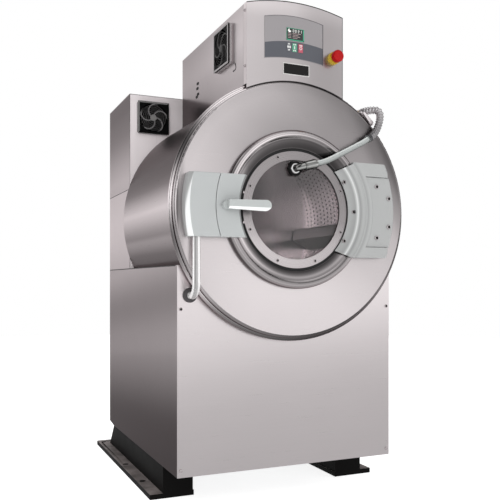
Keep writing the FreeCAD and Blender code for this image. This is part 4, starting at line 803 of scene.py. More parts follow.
# The rails' pale dust on up-facing faces is partly dust and partly a painted sheen of light from above.
BLACK_PAINT = Coat("black_paint_coat", (17, 16, 16), roughness=0.5, worn=(60, 57, 56), dust=0.85,
                   dust_and_sheen_tone=(168, 158, 156), specular=0.04)
LEVER_PAINT = Coat("lever_paint_coat", (178, 182, 181), roughness=0.30, clear=0.15, mottle=0.05, relief=0.05,
                   worn=(228, 230, 228))
# Painted highlight on the lever's lower bevel.
LEVER_EDGE_HIGHLIGHT = Coat("lever_edge_painted_highlight", (244, 246, 245), roughness=0.26, clear=0.3, mottle=0.03, relief=0.03)
LATCH_PAINT = Coat("latch_paint_coat", (177, 180, 180), roughness=0.34, clear=0.1, mottle=0.05, relief=0.05,
                   worn=(214, 217, 214))
GREY_SHADE = Coat("grey_paint_shaded", (138, 140, 140), roughness=0.36, mottle=0.05, relief=0.05)
FRAME_PAINT = Coat("frame_paint_coat", (78, 82, 86), roughness=0.5, worn=(120, 120, 118), dust=0.25)
IRON = Coat("cast_iron", (88, 86, 84), roughness=0.55, metallic=0.6, texture=320.0, relief=0.25, dust=0.15)
COPPER = Coat("copper_line", (176, 112, 82), roughness=0.32, metallic=0.9, texture=300.0, relief=0.05)
COLLAR = Coat("tube_collar_nut", (74, 74, 76), roughness=0.35, metallic=0.5, mottle=0.08, relief=0.05)
BOARD = Coat("circuit_board_mask", (30, 86, 58), roughness=0.4, texture=500.0, relief=0.15)
RUBBER = Coat("seal_rubber", (20, 20, 21), roughness=0.62, texture=900.0, relief=0.12)
GROMMET = Coat("grommet_rubber", (76, 73, 75), roughness=0.55, texture=900.0, relief=0.1, specular=0.2)
# Painted shade in screw sockets.
SOCKET_SHADE = Coat("socket_painted_shade", (22, 21, 21), roughness=0.5, texture=900.0, relief=0.05, specular=0.15)
SEAM = Coat("seam_shadow", (38, 36, 37), roughness=0.5, texture=900.0, relief=0.05, specular=0.2)
BADGE = Coat("badge_plate_black", (22, 21, 21), roughness=0.3, texture=1400.0, relief=0.03, specular=0.2)
BADGE_RIM = Coat("badge_plate_rim", (214, 212, 210), roughness=0.32, metallic=0.4, texture=1400.0,
                 relief=0.02)
SCREEN = Coat("screen_dark", (26, 34, 32), roughness=0.12, clear=0.4, texture=2400.0, relief=0.01)
RED_BUTTON = Coat("red_button_moulding", (168, 9, 14), roughness=0.30, clear=0.03, texture=1200.0,
                  mottle=0.05, relief=0.03, specular=0.2)
YELLOW_COLLAR = Coat("yellow_collar_moulding", (200, 168, 52), roughness=0.33, clear=0.1, texture=1200.0,
                     mottle=0.05, relief=0.03)
NUT = plastic("nut_plastic", (14, 14, 14), relief=0.08, specular=0.15)
BLACK_PLASTIC = plastic("black_plastic_moulding", (22, 22, 23), 0.42, 0.10)
FAN_ARM = plastic("fan_arm_plastic", (120, 118, 118), relief=0.08, specular=0.2)
FAN_HUB = plastic("fan_hub_plastic", (124, 122, 121), 0.40, 0.06)
FAN_RING = plastic("fan_ring_wire", (92, 90, 90), 0.4, specular=0.2)
FAN_DARK = plastic("fan_dark_plastic", (14, 14, 14), 0.5, 0.08, specular=0.04)
FAN_SPOKE = plastic("fan_spoke_black", (74, 72, 72), specular=0.1)
FAN_WIRE = plastic("fan_wire_black", (40, 39, 39), specular=0.1)
FAN_BEZEL = plastic("fan_bezel_steel", (150, 145, 146), 0.4)
FAN_EDGE = plastic("fan_edge_plastic", (118, 116, 116), relief=0.08)
OVERLAY = film("overlay_film", (146, 142, 144), 0.40, mottle=0.04)
OVERLAY_BAND = film("overlay_band_film", (82, 84, 91), 0.38)
# Painted shadow along the overlay's raised edge.
FILM_EDGE_SHADOW = film("overlay_edge_shadow", (88, 86, 90), 0.4)
SCREEN_EDGE = film("screen_edge", (58, 150, 118), mottle=0.16, relief=0.02, glow=0.10)
SCREEN_MARK = film("screen_mark", (226, 228, 224), mottle=0.16, relief=0.02, glow=0.25)
SCREEN_LINE = film("screen_line", (170, 150, 150), mottle=0.16, relief=0.02, glow=0.10)
GREY_KEY = film("grey_key_film", (98, 100, 106), mottle=0.04)
GREEN_KEY = film("green_key_film", (92, 158, 130))
RED_KEY = film("red_key_film", (184, 86, 102))
KEY_MARK = film("key_mark", (222, 222, 220), 0.4, mottle=0.03, relief=0.02)
GLASS = Glass("door_glass_clear")

# Vertices nearer than these are joined, in CAD meshes and in new ones.
WELD_REACH = 1e-5
SEW_REACH = 1e-6
# Edges sharper than these are rounded in a bevel, and creased in new meshes.
BEVEL_ANGLE = math.radians(32)
CREASE_ANGLE = math.radians(35)
# Sockets of front- and back-facing screws higher than this are painted dark as shade; lower ones keep bright
# steel as a painted highlight.
SOCKET_SHADE_ABOVE = 0.3


def node(name: str) -> bpy.types.Object:
    """The CAD node of that name."""
    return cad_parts[name]


def dress(finish: Finish, names: str, bevel: float = 0.0) -> None:
    """Give CAD nodes their finish, and soften their edges.

    Args:
        finish: The finish that they take.
        names: The nodes, with spaces between them.
        bevel: Width of the round on their edges in millimetres, or 0 to leave their meshes as they are.
    """
    for name in names.split():
        obj = node(name)
        obj.data.materials.clear()
        obj.data.materials.append(finish.material())
        if bevel > 0.0:
            soften(obj, bevel)
        LOG.info("dressed %s in %s", name, finish.name)


def soften(obj: bpy.types.Object, width: float) -> None:
    """Round an object's sharp edges with modifiers, and shade it smooth.

    Args:
        obj: The object.
        width: Width of the round in millimetres.
    """
    mesh = obj.data
    if "custom_normal" in mesh.attributes:
        mesh.attributes.remove(mesh.attributes["custom_normal"])
    mesh.shade_smooth()
    weld = obj.modifiers.new("weld", "WELD")
    weld.merge_threshold = WELD_REACH
    bevel = obj.modifiers.new("bevel", "BEVEL")
    bevel.width = width * MM
    bevel.segments = 2
    bevel.limit_method = "ANGLE"
    bevel.angle_limit = BEVEL_ANGLE
    weighted = obj.modifiers.new("weighted", "WEIGHTED_NORMAL")
    weighted.mode = "FACE_AREA_WITH_ANGLE"
    weighted.weight = 90


def repaint(name: str, finish: Finish, where: Callable[[Face], bool]) -> None:
    """Give some faces of a CAD node a finish of their own.

    Args:
        name: The node.
        finish: The finish of those faces.
        where: Tells which faces take it.
    """
    mesh = node(name).data
    number = len(mesh.materials)
    mesh.materials.append(finish.material())
    for polygon in mesh.polygons:
        if where(polygon):
            polygon.material_index = number


def from_axis(place: Vector) -> Vector:
    """The way out from the drum's axis to a place."""
    return Vector((place.x, 0.0, place.z - AXIS_HEIGHT))


def boxes_of_solids(name: str) -> list[tuple[Vector, Vector]]:
    """The boxes of a CAD node's separate solids.

    Args:
        name: The node.

    Returns:
        The lowest and highest corner of each solid.
    """
    mesh = bmesh.new()
    mesh.from_mesh(node(name).data)
    bmesh.ops.remove_doubles(mesh, verts=mesh.verts[:], dist=WELD_REACH)
    left = set(mesh.verts)
    boxes = []
    for first in mesh.verts:
        if first not in left:
            continue
        left.remove(first)
        queue = [first]
        low, high = first.co.copy(), first.co.copy()
        while queue:
            vertex = queue.pop()
            low = Vector(map(min, low, vertex.co))
            high = Vector(map(max, high, vertex.co))
            for edge in vertex.link_edges:
                other = edge.other_vert(vertex)
                if other in left:
                    left.remove(other)
                    queue.append(other)
        boxes.append((low, high))
    mesh.free()
    return boxes


class Form:
    """A mesh that is being built."""

    def __init__(self, name: str) -> None:
        """Start an empty mesh.

        Args:
            name: The name that its piece will have.
        """
        self.name = name
        self.mesh = bmesh.new()
        self.paint = 0

    def ring_of(self, corners: Sequence[Vector]) -> list[bmesh.types.BMVert]:
        """Add the corners as vertices."""
        return [self.mesh.verts.new(corner) for corner in corners]

    def sew(self, rings: Sequence[Sequence[bmesh.types.BMVert]], closed: bool) -> None:
        """Join rings of vertices with quads.

        Args:
            rings: The rings, each with the same count.
            closed: Whether the last ring joins the first.
        """
        count = len(rings[0])
        pairs = list(zip(rings, rings[1:]))
        if closed:
            pairs.append((rings[-1], rings[0]))
        for lower, upper in pairs:
            for i in range(count):
                j = (i + 1) % count
                face = self.mesh.faces.new((lower[i], lower[j], upper[j], upper[i]))
                face.material_index = self.paint

    def lathe(self, profile: Sequence[tuple[float, float]], centre: Vector, axis: Vector, steps: int = 48,
              closed: bool = True, lobes: Callable[[int, float], float] | None = None) -> None:
        """Turn a profile about an axis.

        Args:
            profile: Radius and place along the axis of each corner.
            centre: A point on the axis.
            axis: Direction of the axis.
            steps: Corners round each ring.
            closed: Whether the profile's last corner joins its first.
            lobes: Gives a factor on the radius from the corner's number and the angle.
        """
        turn = UPWARD.rotation_difference(axis)
        rings = []
        for number, (radius, along) in enumerate(profile):
            ring = []
            for angle in turns(steps):
                reach = radius * (lobes(number, angle) if lobes else 1.0)
                ring.append(centre + turn @ Vector((reach * math.cos(angle), reach * math.sin(angle), along)))
            rings.append(self.ring_of(ring))
        self.sew(rings, closed)

    def slab(self, outline: Sequence[Vector], depth: Vector) -> None:
        """A flat piece from its outline, and the way and distance to its other face."""
        self.loft([outline, [corner + depth for corner in outline]])

    def loft(self, sections: Sequence[Sequence[Vector]]) -> None:
        """Join like sections in order into one piece, capped at both ends.

        Args:
            sections: The corners of each section.
        """
        rings = [self.ring_of(section) for section in sections]
        self.sew(rings, False)
        self.mesh.faces.new(list(reversed(rings[0])))
        self.mesh.faces.new(rings[-1])

    def tube(self, path: Sequence[Vector], radii: Sequence[float], steps: int) -> None:
        """A round tube along a path, capped at both ends.

        Args:
            path: Points of its middle line.
            radii: Radius at each point.
            steps: Corners round it.
        """
        side = (path[1] - path[0]).orthogonal().normalized()
        ahead = (path[1] - path[0]).normalized()
        sections = []
        for i, (point, radius) in enumerate(zip(path, radii)):
            way = (path[min(i + 1, len(path) - 1)] - path[max(i - 1, 0)]).normalized()
            side = ahead.rotation_difference(way) @ side
            ahead = way
            other = way.cross(side)
            sections.append([point + radius * (math.cos(t) * side + math.sin(t) * other)
                             for t in turns(steps)])
        self.loft(sections)

    def place(self, finish: Finish, body: Body | None, slot: Slot, bevel: float = 0.0,
              second: Finish | None = None) -> bpy.types.Object:
        """Turn the mesh into a piece of the scene.

        Args:
            finish: Its finish.
            body: The body that it rides on, or None to leave it unattached.
            slot: The record's slot of its finish. It is not used.
            bevel: Width of the round on its edges in millimetres.
            second: The finish of the faces that were painted with it.

        Returns:
            The new object.
        """
        bmesh.ops.remove_doubles(self.mesh, verts=self.mesh.verts[:], dist=SEW_REACH)
        bmesh.ops.recalc_face_normals(self.mesh, faces=self.mesh.faces[:])
        data = bpy.data.meshes.new(self.name)
        self.mesh.to_mesh(data)
        self.mesh.free()
        data.materials.append(finish.material())
        if second is not None:
            data.materials.append(second.material())
        data.shade_smooth()
        data.set_sharp_from_angle(angle=CREASE_ANGLE)
        obj = bpy.data.objects.new(self.name, data)
        bpy.context.scene.collection.objects.link(obj)
        if bevel > 0.0:
            soften(obj, bevel)
        if body is not None:
            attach(obj, body.value)
        LOG.info("made %s in %s", self.name, finish.name)
        return obj


def add_screw(form: Form, low: Vector, high: Vector) -> None:
    """A domed screw head with a hexagon socket, in the box of its CAD head.

    Args:
        form: The mesh that it goes into.
        low: Lowest corner of the box.
        high: Highest corner of the box.
    """
    size = high - low
    axis_number = min(range(3), key=lambda i: size[i])
    height = size[axis_number]
    radius = max(size) / 2
    centre = (low + high) / 2
    way = math.copysign(1.0, centre[axis_number])
    axis = Vector([way if i == axis_number else 0.0 for i in range(3)])
    foot = centre - axis * height / 2
    socket_corners = (1, 2)

    def lobes(number: int, angle: float) -> float:
        """Six flats on the socket's corners of the profile."""
        turn = (angle + math.pi / 6) % (math.pi / 3) - math.pi / 6
        return 0.87 / math.cos(turn) if number in socket_corners else 1.0

    head = ((0.0, 0.0), (1.0, 0.0), (1.0, 0.45), (0.86, 0.90), (0.66, 1.0))
    socket = ((0.66, 1.0), (0.58, 0.96), (0.54, 0.35), (0.0, 0.25))
    form.lathe([(radius * out, height * up) for out, up in head], foot, axis, steps=24, closed=False)
    # Painted shade in the socket of a front- or back-facing screw, except low down, where the bright steel
    # stands as a painted highlight.
    form.paint = 1 if axis_number == 1 and centre.z > SOCKET_SHADE_ABOVE else 0
    form.lathe([(radius * out, height * up) for out, up in socket], foot, axis, steps=24, closed=False,
               lobes=lobes)
    form.paint = 0


def replace_screws(name: str, body: Body) -> None:
    """Put detailed heads in place of a CAD node of plain ones.

    Args:
        name: The node.
        body: The body that they ride on.
    """
    form = Form(f"{name}_detailed")
    for low, high in boxes_of_solids(name):
        add_screw(form, low, high)
    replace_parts(form.place(BRIGHT, body, Slot.POLISHED, second=SOCKET_SHADE), name)


def side_seams(name: str, corners: Sequence[tuple[float, float]]) -> None:
    """A thin painted shadow line in a joint, on both sides of the cabinet.

    Args:
        name: The piece's name.
        corners: Depth and height of its corners.
    """
    form = Form(name)
    for way in (-1, 1):
        outline = [mm(way * (HALF_WIDTH - 0.3), depth, z) for depth, z in corners]
        form.slab(outline, Vector((way * 0.5 * MM, 0.0, 0.0)))
    form.place(SEAM, Body.CABINET, Slot.RUBBER)


@dataclass
class Base:
    """The rails and the sheet-metal cabinet under the tub."""

    rail_edge: float = 1.5
    top: float = 790.0
    depth: float = 966.0
    screw: float = 6.0
    screw_columns: Point = (-378.0, 0.0, 378.0)
    screw_rows: tuple[float, ...] = (140.0, 765.0, 815.0, 1080.0, 1130.0, 1460.0)
    louvre_count: int = 8
    louvre_low: float = 500.0
    louvre_pitch: float = 28.0
    louvre_half: float = 130.0
    louvre_bulge: float = 8.0
    louvre_steps: int = 16

    def seams(self) -> None:
        """A painted shadow line along the top of each side panel."""
        back = self.depth - 2
        side_seams("base_seams", ((16, self.top - 0.2), (back, self.top - 0.2), (back, self.top - 2.6),
                                  (16, self.top - 3.2)))

    def back_screws(self) -> None:
        """Screws down both edges and the middle of the back's three panels."""
        form = Form("back_screws")
        for x in self.screw_columns:
            for z in self.screw_rows:
                add_screw(form, mm(x - self.screw, self.depth - 0.2, z - self.screw),
                          mm(x + self.screw, self.depth + 2.8, z + self.screw))
        form.place(BRIGHT, Body.CABINET, Slot.POLISHED, second=SOCKET_SHADE)

    def louvres(self) -> None:
        """Pressed air louvres in the back panel, each with a painted shadow strip for its opening below it.
        """
        form = Form("back_louvres")
        half = self.louvre_half
        for number in range(self.louvre_count):
            z = self.louvre_low + self.louvre_pitch * number
            sections = []
            for step in range(self.louvre_steps + 1):
                share = 2 * step / self.louvre_steps - 1
                bulge = self.louvre_bulge * (1 - share ** 6) + 0.05
                sections.append([mm(half * share, self.depth + out, z + up)
                                 for out, up in ((-0.3, 9), (0.6 * bulge, 3), (bulge, -6), (-0.3, -6))])
            form.loft(sections)
            form.paint = 1
            slot = ((-half, z - 6), (half, z - 6), (half, z - 11), (-half, z - 11))
            form.slab([mm(x, self.depth - 0.2, height) for x, height in slot], behind(0.4))
            form.paint = 0
        form.place(BACK_PANEL, Body.CABINET, Slot.STAINLESS, second=SEAM)

    def build(self) -> None:
        """Dress the rails, the panels and what they hold."""
        dress(BLACK_PAINT, "left_base_rail right_base_rail", self.rail_edge)
        dress(FRONT_PANEL, "base_front_panel", SHEET_EDGE)
        dress(SIDE_PANEL, "left_side_panel right_side_panel", SHEET_EDGE)
        dress(BACK_PANEL, "base_back_panel", SHEET_EDGE)
        dress(FRAME_PAINT, "main_frame drive_motor")
        dress(IRON, "drum_pulley motor_pulley bearing_housing drum_trunnion")
        dress(BRIGHT, "shaft_bearings hinge_pin")
        dress(RUBBER, "drive_belts")
        dress(BLACK_PLASTIC, "drain_valve")
        dress(COPPER, "water_valves spray_supply_pipe")
        replace_screws("cabinet_screws", Body.CABINET)
        self.seams()
        self.back_screws()
        self.louvres()


@dataclass
class Fan:
    """One cooling fan with its guard."""

    where: FanPlace
    centre: Vector
    outward: Vector
    bore: float
    edge: Finish
    arm: Coat
    boss: Coat
    wire_finish: Coat
    bezel_finish: Coat
    plate: float = 14 * MM
    hub: float = 13 * MM
    rings: int = 5
    wire: float = 1.2 * MM
    wire_depth: float = 2.2 * MM
    half: float = 64 * MM
    bezel: float = 7 * MM
    bezel_lit: tuple[bool, bool, bool, bool] = (True, True, True, True)
    margin: float = 1 * MM
    edgewise: float = 0.3
    facing: float = 0.9

    def corner(self, reach: float, quarter: int, height: float) -> Vector:
        """A corner of the bezel.

        Args:
            reach: Half the width of the bezel there.
            quarter: The corner's number.
            height: Its height above the wall.

        Returns:
            The corner.
        """
        aside = UPWARD.cross(self.outward)
        turn = math.radians(45 + 90 * quarter)
        spot = math.sqrt(2) * reach * (math.cos(turn) * aside + math.sin(turn) * UPWARD)
        return self.centre + spot + height * self.outward

    def edging(self) -> None:
        """The sloped bezel round the frame. Its sides, from the top round to the left, are each painted lit
        or in shade.
        """
        form = Form(f"{self.where.value}_fan_bezel")
        outer = self.half - 0.3 * MM
        inner = self.half - self.bezel
        low, high, foot = self.plate + 0.2 * MM, self.plate + 0.6 * MM, self.plate - 0.5 * MM
        section = ((outer, low), (inner, high), (inner, foot), (outer, foot))
        for quarter, lit in enumerate(self.bezel_lit):
            form.paint = 1 if lit else 0
            form.loft([[self.corner(reach, number, height) for reach, height in section]
                       for number in (quarter, quarter + 1)])
        form.place(FAN_DARK, Body.CABINET, Slot.BLACK_PLASTIC, second=self.bezel_finish)

    def off_axis(self, polygon: Face) -> float:
        """Distance of a face from the fan's axis."""
        away = polygon.center - self.centre
        return (away - away.dot(self.outward) * self.outward).length

    def is_front(self, polygon: Face) -> bool:
        """Whether a face of the frame is at the guard's front, inside the bore."""
        height = (polygon.center - self.centre).dot(self.outward)
        return self.off_axis(polygon) < self.bore - self.margin and height > self.plate / 4

    def build(self) -> None:
        """Dress the frame and rotor, and add the guard's rings."""
        name = f"{self.where.value}_fan_frame"
        dress(FAN_DARK, f"{name} {self.where.value}_fan_rotor")
        repaint(name, self.edge, lambda p: self.off_axis(p) > self.bore + self.margin
                and abs(p.normal.dot(self.outward)) < self.edgewise)
        repaint(name, self.arm, self.is_front)
        repaint(name, self.boss, lambda p: self.off_axis(p) < self.hub
                and p.normal.dot(self.outward) > self.facing and self.is_front(p))
        form = Form(f"{self.where.value}_fan_guard")
        gap = (self.bore - self.hub) / (self.rings + 1)
        depth = self.plate - self.wire_depth
        for number in range(self.rings):
            radius = self.hub + gap * (number + 1)
            corners = [(radius + self.wire * math.cos(a), depth + self.wire * math.sin(a)) for a in turns(6)]
            form.lathe(corners, self.centre, self.outward, steps=72)
        form.place(self.wire_finish, Body.CABINET, Slot.BLACK_PLASTIC)
        self.edging()


@dataclass
class RearHousing:
    """The tall housing behind the tub."""

    joint: float = 1105.0
    front: float = 612.0
    back: float = 964.0
    top_facing: float = 0.9

    def build(self) -> None:
        """Dress its three sheets and its fan, and paint a shadow line at the joint between skirt and hood."""
        dress(SKIRT, "rear_housing_skirt", SHEET_EDGE)
        dress(HOOD, "rear_housing_hood", SHEET_EDGE)
        # The hood's top faces take their own painted reflection.
        repaint("rear_housing_hood", HOOD_TOP, lambda p: p.normal.z > self.top_facing)
        dress(REAR_FRONT, "rear_housing_front")
        # The rear fan's bezel is painted lit on its top and left sides and in shade on the others.
        Fan(FanPlace.REAR, mm(-306, 610, 1394), -BACKWARD, 57 * MM, FAN_EDGE, FAN_ARM, FAN_HUB, FAN_RING,
            FAN_EDGE, wire=0.9 * MM, bezel_lit=(True, True, False, False)).build()
        upper, lower = self.joint + 1.6, self.joint - 0.8
        side_seams("housing_seams", ((self.front, upper), (self.back, upper), (self.back, lower),
                                     (self.front, lower)))


@dataclass
class Drum:
    """The perforated drum with its lifters. Its sizes are in millimetres."""

    radius: float = 380.0
    mouth: float = 232.0
    front: float = -6.0
    back: float = 560.0
    border: float = 6.0
    columns: int = 140
    rows: int = 20
    hole: float = 4.4
    stagger: float = 0.18
    steps: int = 150
    lifter_edge: float = 2.0

    def wall_point(self, column: float, row: float) -> Vector:
        """A point of the wall from its place in the grid of holes.

        Args:
            column: Place round the wall.
            row: Place along the wall.

        Returns:
            The point.
        """
        angle = 2 * math.pi * column / self.columns
        depth = self.front + self.border + (self.back - self.front - 2 * self.border) * row / self.rows
        return mm(self.radius * math.cos(angle), depth, AXIS + self.radius * math.sin(angle))

    def wall(self, form: Form) -> None:
        """Add the wall, with a round hole in each cell of its grid.

        Args:
            form: The mesh that it goes into.
        """
        grid: dict[tuple[int, int], bmesh.types.BMVert] = {}

        def corner(column: int, row: int) -> bmesh.types.BMVert:
            """The shared vertex at half steps of the grid.

            Args:
                column: Half steps round the wall.
                row: Half steps along it.

            Returns:
                The vertex.
            """
            key = (column % (2 * self.columns), row)
            if key not in grid:
                grid[key] = form.mesh.verts.new(self.wall_point(key[0] / 2, row / 2))
            return grid[key]

        around = [(1, 0), (1, 1), (0, 1), (-1, 1), (-1, 0), (-1, -1), (0, -1), (1, -1)]
        wide = self.hole * self.columns / (2 * math.pi * self.radius)
        long = self.hole * self.rows / (self.back - self.front)
        for row in range(self.rows):
            middle = 0.5 + self.stagger * (-1) ** row
            for column in range(self.columns):
                outer = [corner(2 * column + 1 + dx, 2 * row + 1 + dy) for dx, dy in around]
                inner = [self.wall_point(column + middle + wide * math.cos(a), row + 0.5 + long * math.sin(a))
                         for a in turns(len(around))]
                form.sew([outer, form.ring_of(inner)], False)

    def build(self) -> None:
        """Make the drum, and dress the lifters."""
        form = Form("drum_perforated")
        self.wall(form)
        centre = mm(0, 0, AXIS)
        reach, mouth = self.radius, self.mouth
        lip = [(mouth, 2), (mouth + 3, -4), (mouth + 8, -6), (reach, -6), (reach, 0), (mouth + 8, -4),
               (mouth + 4, -2), (mouth + 2, 2)]
        form.lathe(scaled(lip), centre, BACKWARD, self.steps)
        dish = [(0, 540), (100, 541), (300, 549), (reach, 554), (reach, 560), (300, 555), (100, 547),
                (0, 546)]
        form.lathe(scaled(dish), centre, BACKWARD, self.steps, closed=False)
        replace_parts(form.place(DRUM, Body.DRUM, Slot.STAINLESS), "drum_shell")
        dress(LIFTER, "drum_lifters", self.lifter_edge)


@dataclass
class Tub:
    """The outer tub with its flange and face."""

    flange_back: float = -0.6965
    inside: float = 0.4168
    face_flat: float = 0.4176
    wrap_front: float = 417.8
    wrap_back: float = 424.5
    wrap_start: float = -8.0
    wrap_end: float = 609.0

    def faces_in(self, polygon: Face) -> bool:
        """Whether a face of the shell looks towards the axis."""
        away = from_axis(polygon.center)
        return away.length < self.inside and polygon.normal.dot(away) < 0

    def wrap(self) -> None:
        """The thin polished wrap round the shell, a little wider at its back."""
        form = Form("tub_wrap")
        profile = [(self.wrap_front, self.wrap_start), (self.wrap_back, self.wrap_end),
                   (self.wrap_front, self.wrap_end), (self.wrap_front - 0.3, self.wrap_start)]
        form.lathe(scaled(profile), mm(0, 0, AXIS), BACKWARD, steps=180)
        form.place(TUB_WALL, Body.CABINET, Slot.STAINLESS)

    def build(self) -> None:
        """Dress the shell, its flange, the gasket, and the face with its rounded edge."""
        self.wrap()
        dress(TUB_WALL, "tub_shell")
        # Faces of the shell that look towards the axis take painted shade.
        repaint("tub_shell", TUB_INSIDE_SHADE, self.faces_in)
        # The flange takes painted highlight lines.
        repaint("tub_shell", TUB_FLANGE, lambda p: p.center.y < self.flange_back)
        dress(RUBBER, "rim_gasket")
        dress(TUB_FACE, "tub_front_plate")
        # The face's rounded edge takes painted highlight lines.
        repaint("tub_front_plate", TUB_EDGE, lambda p: from_axis(p.center).length > self.face_flat)


@dataclass
class ControlTower:
    """The control tower with its panel, keys, stop button and fan. Its sizes are in millimetres."""

    face: float = -45.0
    sheet: float = -44.0
    screen: float = -45.7
    key: float = -46.85
    mark: float = 0.25
    apron: float = 425.0
    badge_half: float = 49.4
    badge_low: float = 1422.5
    badge_high: float = 1461.5
    badge_rim: float = 3.0
    half_width: float = 180.0
    crown_top: float = 1666.0
    crown_radius: float = 673.5
    film_top: float = 1618.0
    film_foot: float = 1468.0
    film_bow: float = 450.0
    film_left: float = -117.0
    film_right: float = 102.0
    film_thick: float = 1.2
    key_middle: float = 1514.0
    slot_half: float = 2.3
    port_half: float = 6.0
    port_radius: float = 5.0

    def trim(self, form: Form, places: Sequence[Point], front: float, back: float) -> None:
        """A narrow strip on the panel, bent along a run of places.

        Args:
            form: The mesh that it goes into.
            places: Place to the right, upper edge and lower edge of each section.
            front: Depth of its front.
            back: Depth of its back.
        """
        form.loft([[mm(x, front, high), mm(x, back, high), mm(x, back, low), mm(x, front, low)]
                   for x, high, low in places])

    def rim(self, x: float, radius: float) -> float:
        """Height of an arc round the drum's axis above a place."""
        return AXIS + math.sqrt(radius ** 2 - x ** 2)

    def crown(self, x: float) -> float:
        """Height of the panel's top edge at a place."""
        return self.crown_top - self.crown_radius + math.sqrt(self.crown_radius ** 2 - x ** 2)

    def film_edge(self, x: float) -> float:
        """Height of the overlay's top edge at a place."""
        off = x - (self.film_left + self.film_right) / 2
        return self.film_top - self.film_bow + math.sqrt(self.film_bow ** 2 - off ** 2)

    def trims(self) -> None:
        """Painted lines of shadow and dark reflection along the panel's top, right and lower edges, and
        painted shadow along the overlay's top and right edges.
        """
        steps = 40
        shares = [step / steps for step in range(steps + 1)]
        wide = [self.half_width * 0.999 * (2 * share - 1) for share in shares]
        form = Form("panel_seams")
        front, back = self.sheet - 0.2, self.sheet + 0.6
        self.trim(form, [(x, self.crown(x) - 0.2, self.crown(x) - 3.2) for x in wide], front, back)
        side = self.half_width - 2.2
        self.trim(form, [(x, self.crown(side) - 1, self.rim(side, self.apron) + 1)
                         for x in (side, self.half_width - 0.2)], front, back)
        self.trim(form, [(x, self.rim(x, self.apron + 2.2), self.rim(x, self.apron - 1.0)) for x in wide],
                  front, self.sheet + 0.8)
        form.place(SEAM, Body.CABINET, Slot.RUBBER)
        form = Form("overlay_edge")
        front, back = self.face - self.film_thick, self.face
        long = [self.film_left + (self.film_right - self.film_left) * share for share in shares]
        self.trim(form, [(x, self.film_edge(x), self.film_edge(x) - 1.0) for x in long], front, back)
        ends = (self.film_right - 1.6, self.film_right)
        self.trim(form, [(x, self.film_edge(x), self.film_foot) for x in ends], front, back)
        form.place(FILM_EDGE_SHADOW, Body.CABINET, Slot.OVERLAY)

    def rounded(self, x0: float, z0: float, x1: float, z1: float, radius: float,
                depth: float) -> list[Vector]:
        """A rectangle's outline with round corners, at a depth.

        Args:
            x0: Left edge.
            z0: Lower edge.
            x1: Right edge.
            z1: Upper edge.
            radius: Radius of the corners.
            depth: Depth of the outline.

        Returns:
            The outline's corners.
        """
        left, right, low, high = x0 + radius, x1 - radius, z0 + radius, z1 - radius
        middles = ((right, high, 0), (left, high, 90), (left, low, 180), (right, low, 270))
        return [mm(x + radius * math.cos(angle), depth, z + radius * math.sin(angle))
                for x, z, start in middles for angle in turns(5, start, 112.5)]

    def bar(self, form: Form, x0: float, z0: float, x1: float, z1: float, depth: float) -> None:
        """A thin raised bar on the panel."""
        form.slab(self.rounded(x0, z0, x1, z1, min(x1 - x0, z1 - z0) * 0.3, depth), behind(self.mark))

    def badge(self) -> None:
        """The bare badge plate in its pale rim."""
        for name, finish, slot, inset, radius, depth, thick in (
                ("badge_rim", BADGE_RIM, Slot.POLISHED, 0.0, 2.5, -45.2, 1.2),
                ("badge_plate", BADGE, Slot.BLACK_PLASTIC, self.badge_rim, 2.0, -45.9, 0.9)):
            form = Form(name)
            half, low, high = self.badge_half - inset, self.badge_low + inset, self.badge_high - inset
            form.slab(self.rounded(-half, low, half, high, radius, depth), behind(thick))
            form.place(finish, Body.CABINET, slot, 0.3)

    def band(self) -> None:
        """The darker film over the lower part of the overlay, with a bowed upper edge."""
        left, right, upper_edge, lower_edge = -115.5, 100.5, 1519.0, 1469.5
        steps = 24
        upper = []
        lower = []
        for step in range(steps + 1):
            share = step / steps
            x = left + (right - left) * share
            bow = 1 - (2 * share - 1) ** 2
            upper.append(mm(x, self.face - self.mark, upper_edge + 5 * share + 12 * bow))
            lower.append(mm(x, self.face - self.mark, lower_edge + 9.5 * bow))
        form = Form("overlay_band")
        form.slab(upper + lower[::-1], behind(0.2))
        form.place(OVERLAY_BAND, Body.CABINET, Slot.OVERLAY)

    def digit(self, form: Form, x: float, z: float, segments: str) -> None:
        """One digit of bars on the screen.

        Args:
            form: The mesh that it goes into.
            x: Left edge.
            z: Lower edge.
            segments: The lit bars, from a to g.
        """
        wide, half, thick = 5.0, 4.4, 1.2
        high = 2 * half
        bars = {"a": (0, high - thick, wide, high), "g": (0, half - thick / 2, wide, half + thick / 2),
                "d": (0, 0, wide, thick), "f": (0, half, thick, high), "b": (wide - thick, half, wide, high),
                "e": (0, 0, thick, half), "c": (wide - thick, 0, wide, half)}
        for segment in segments:
            x0, z0, x1, z1 = bars[segment]
            self.bar(form, x + x0, z + z0, x + x1, z + z1, self.screen)

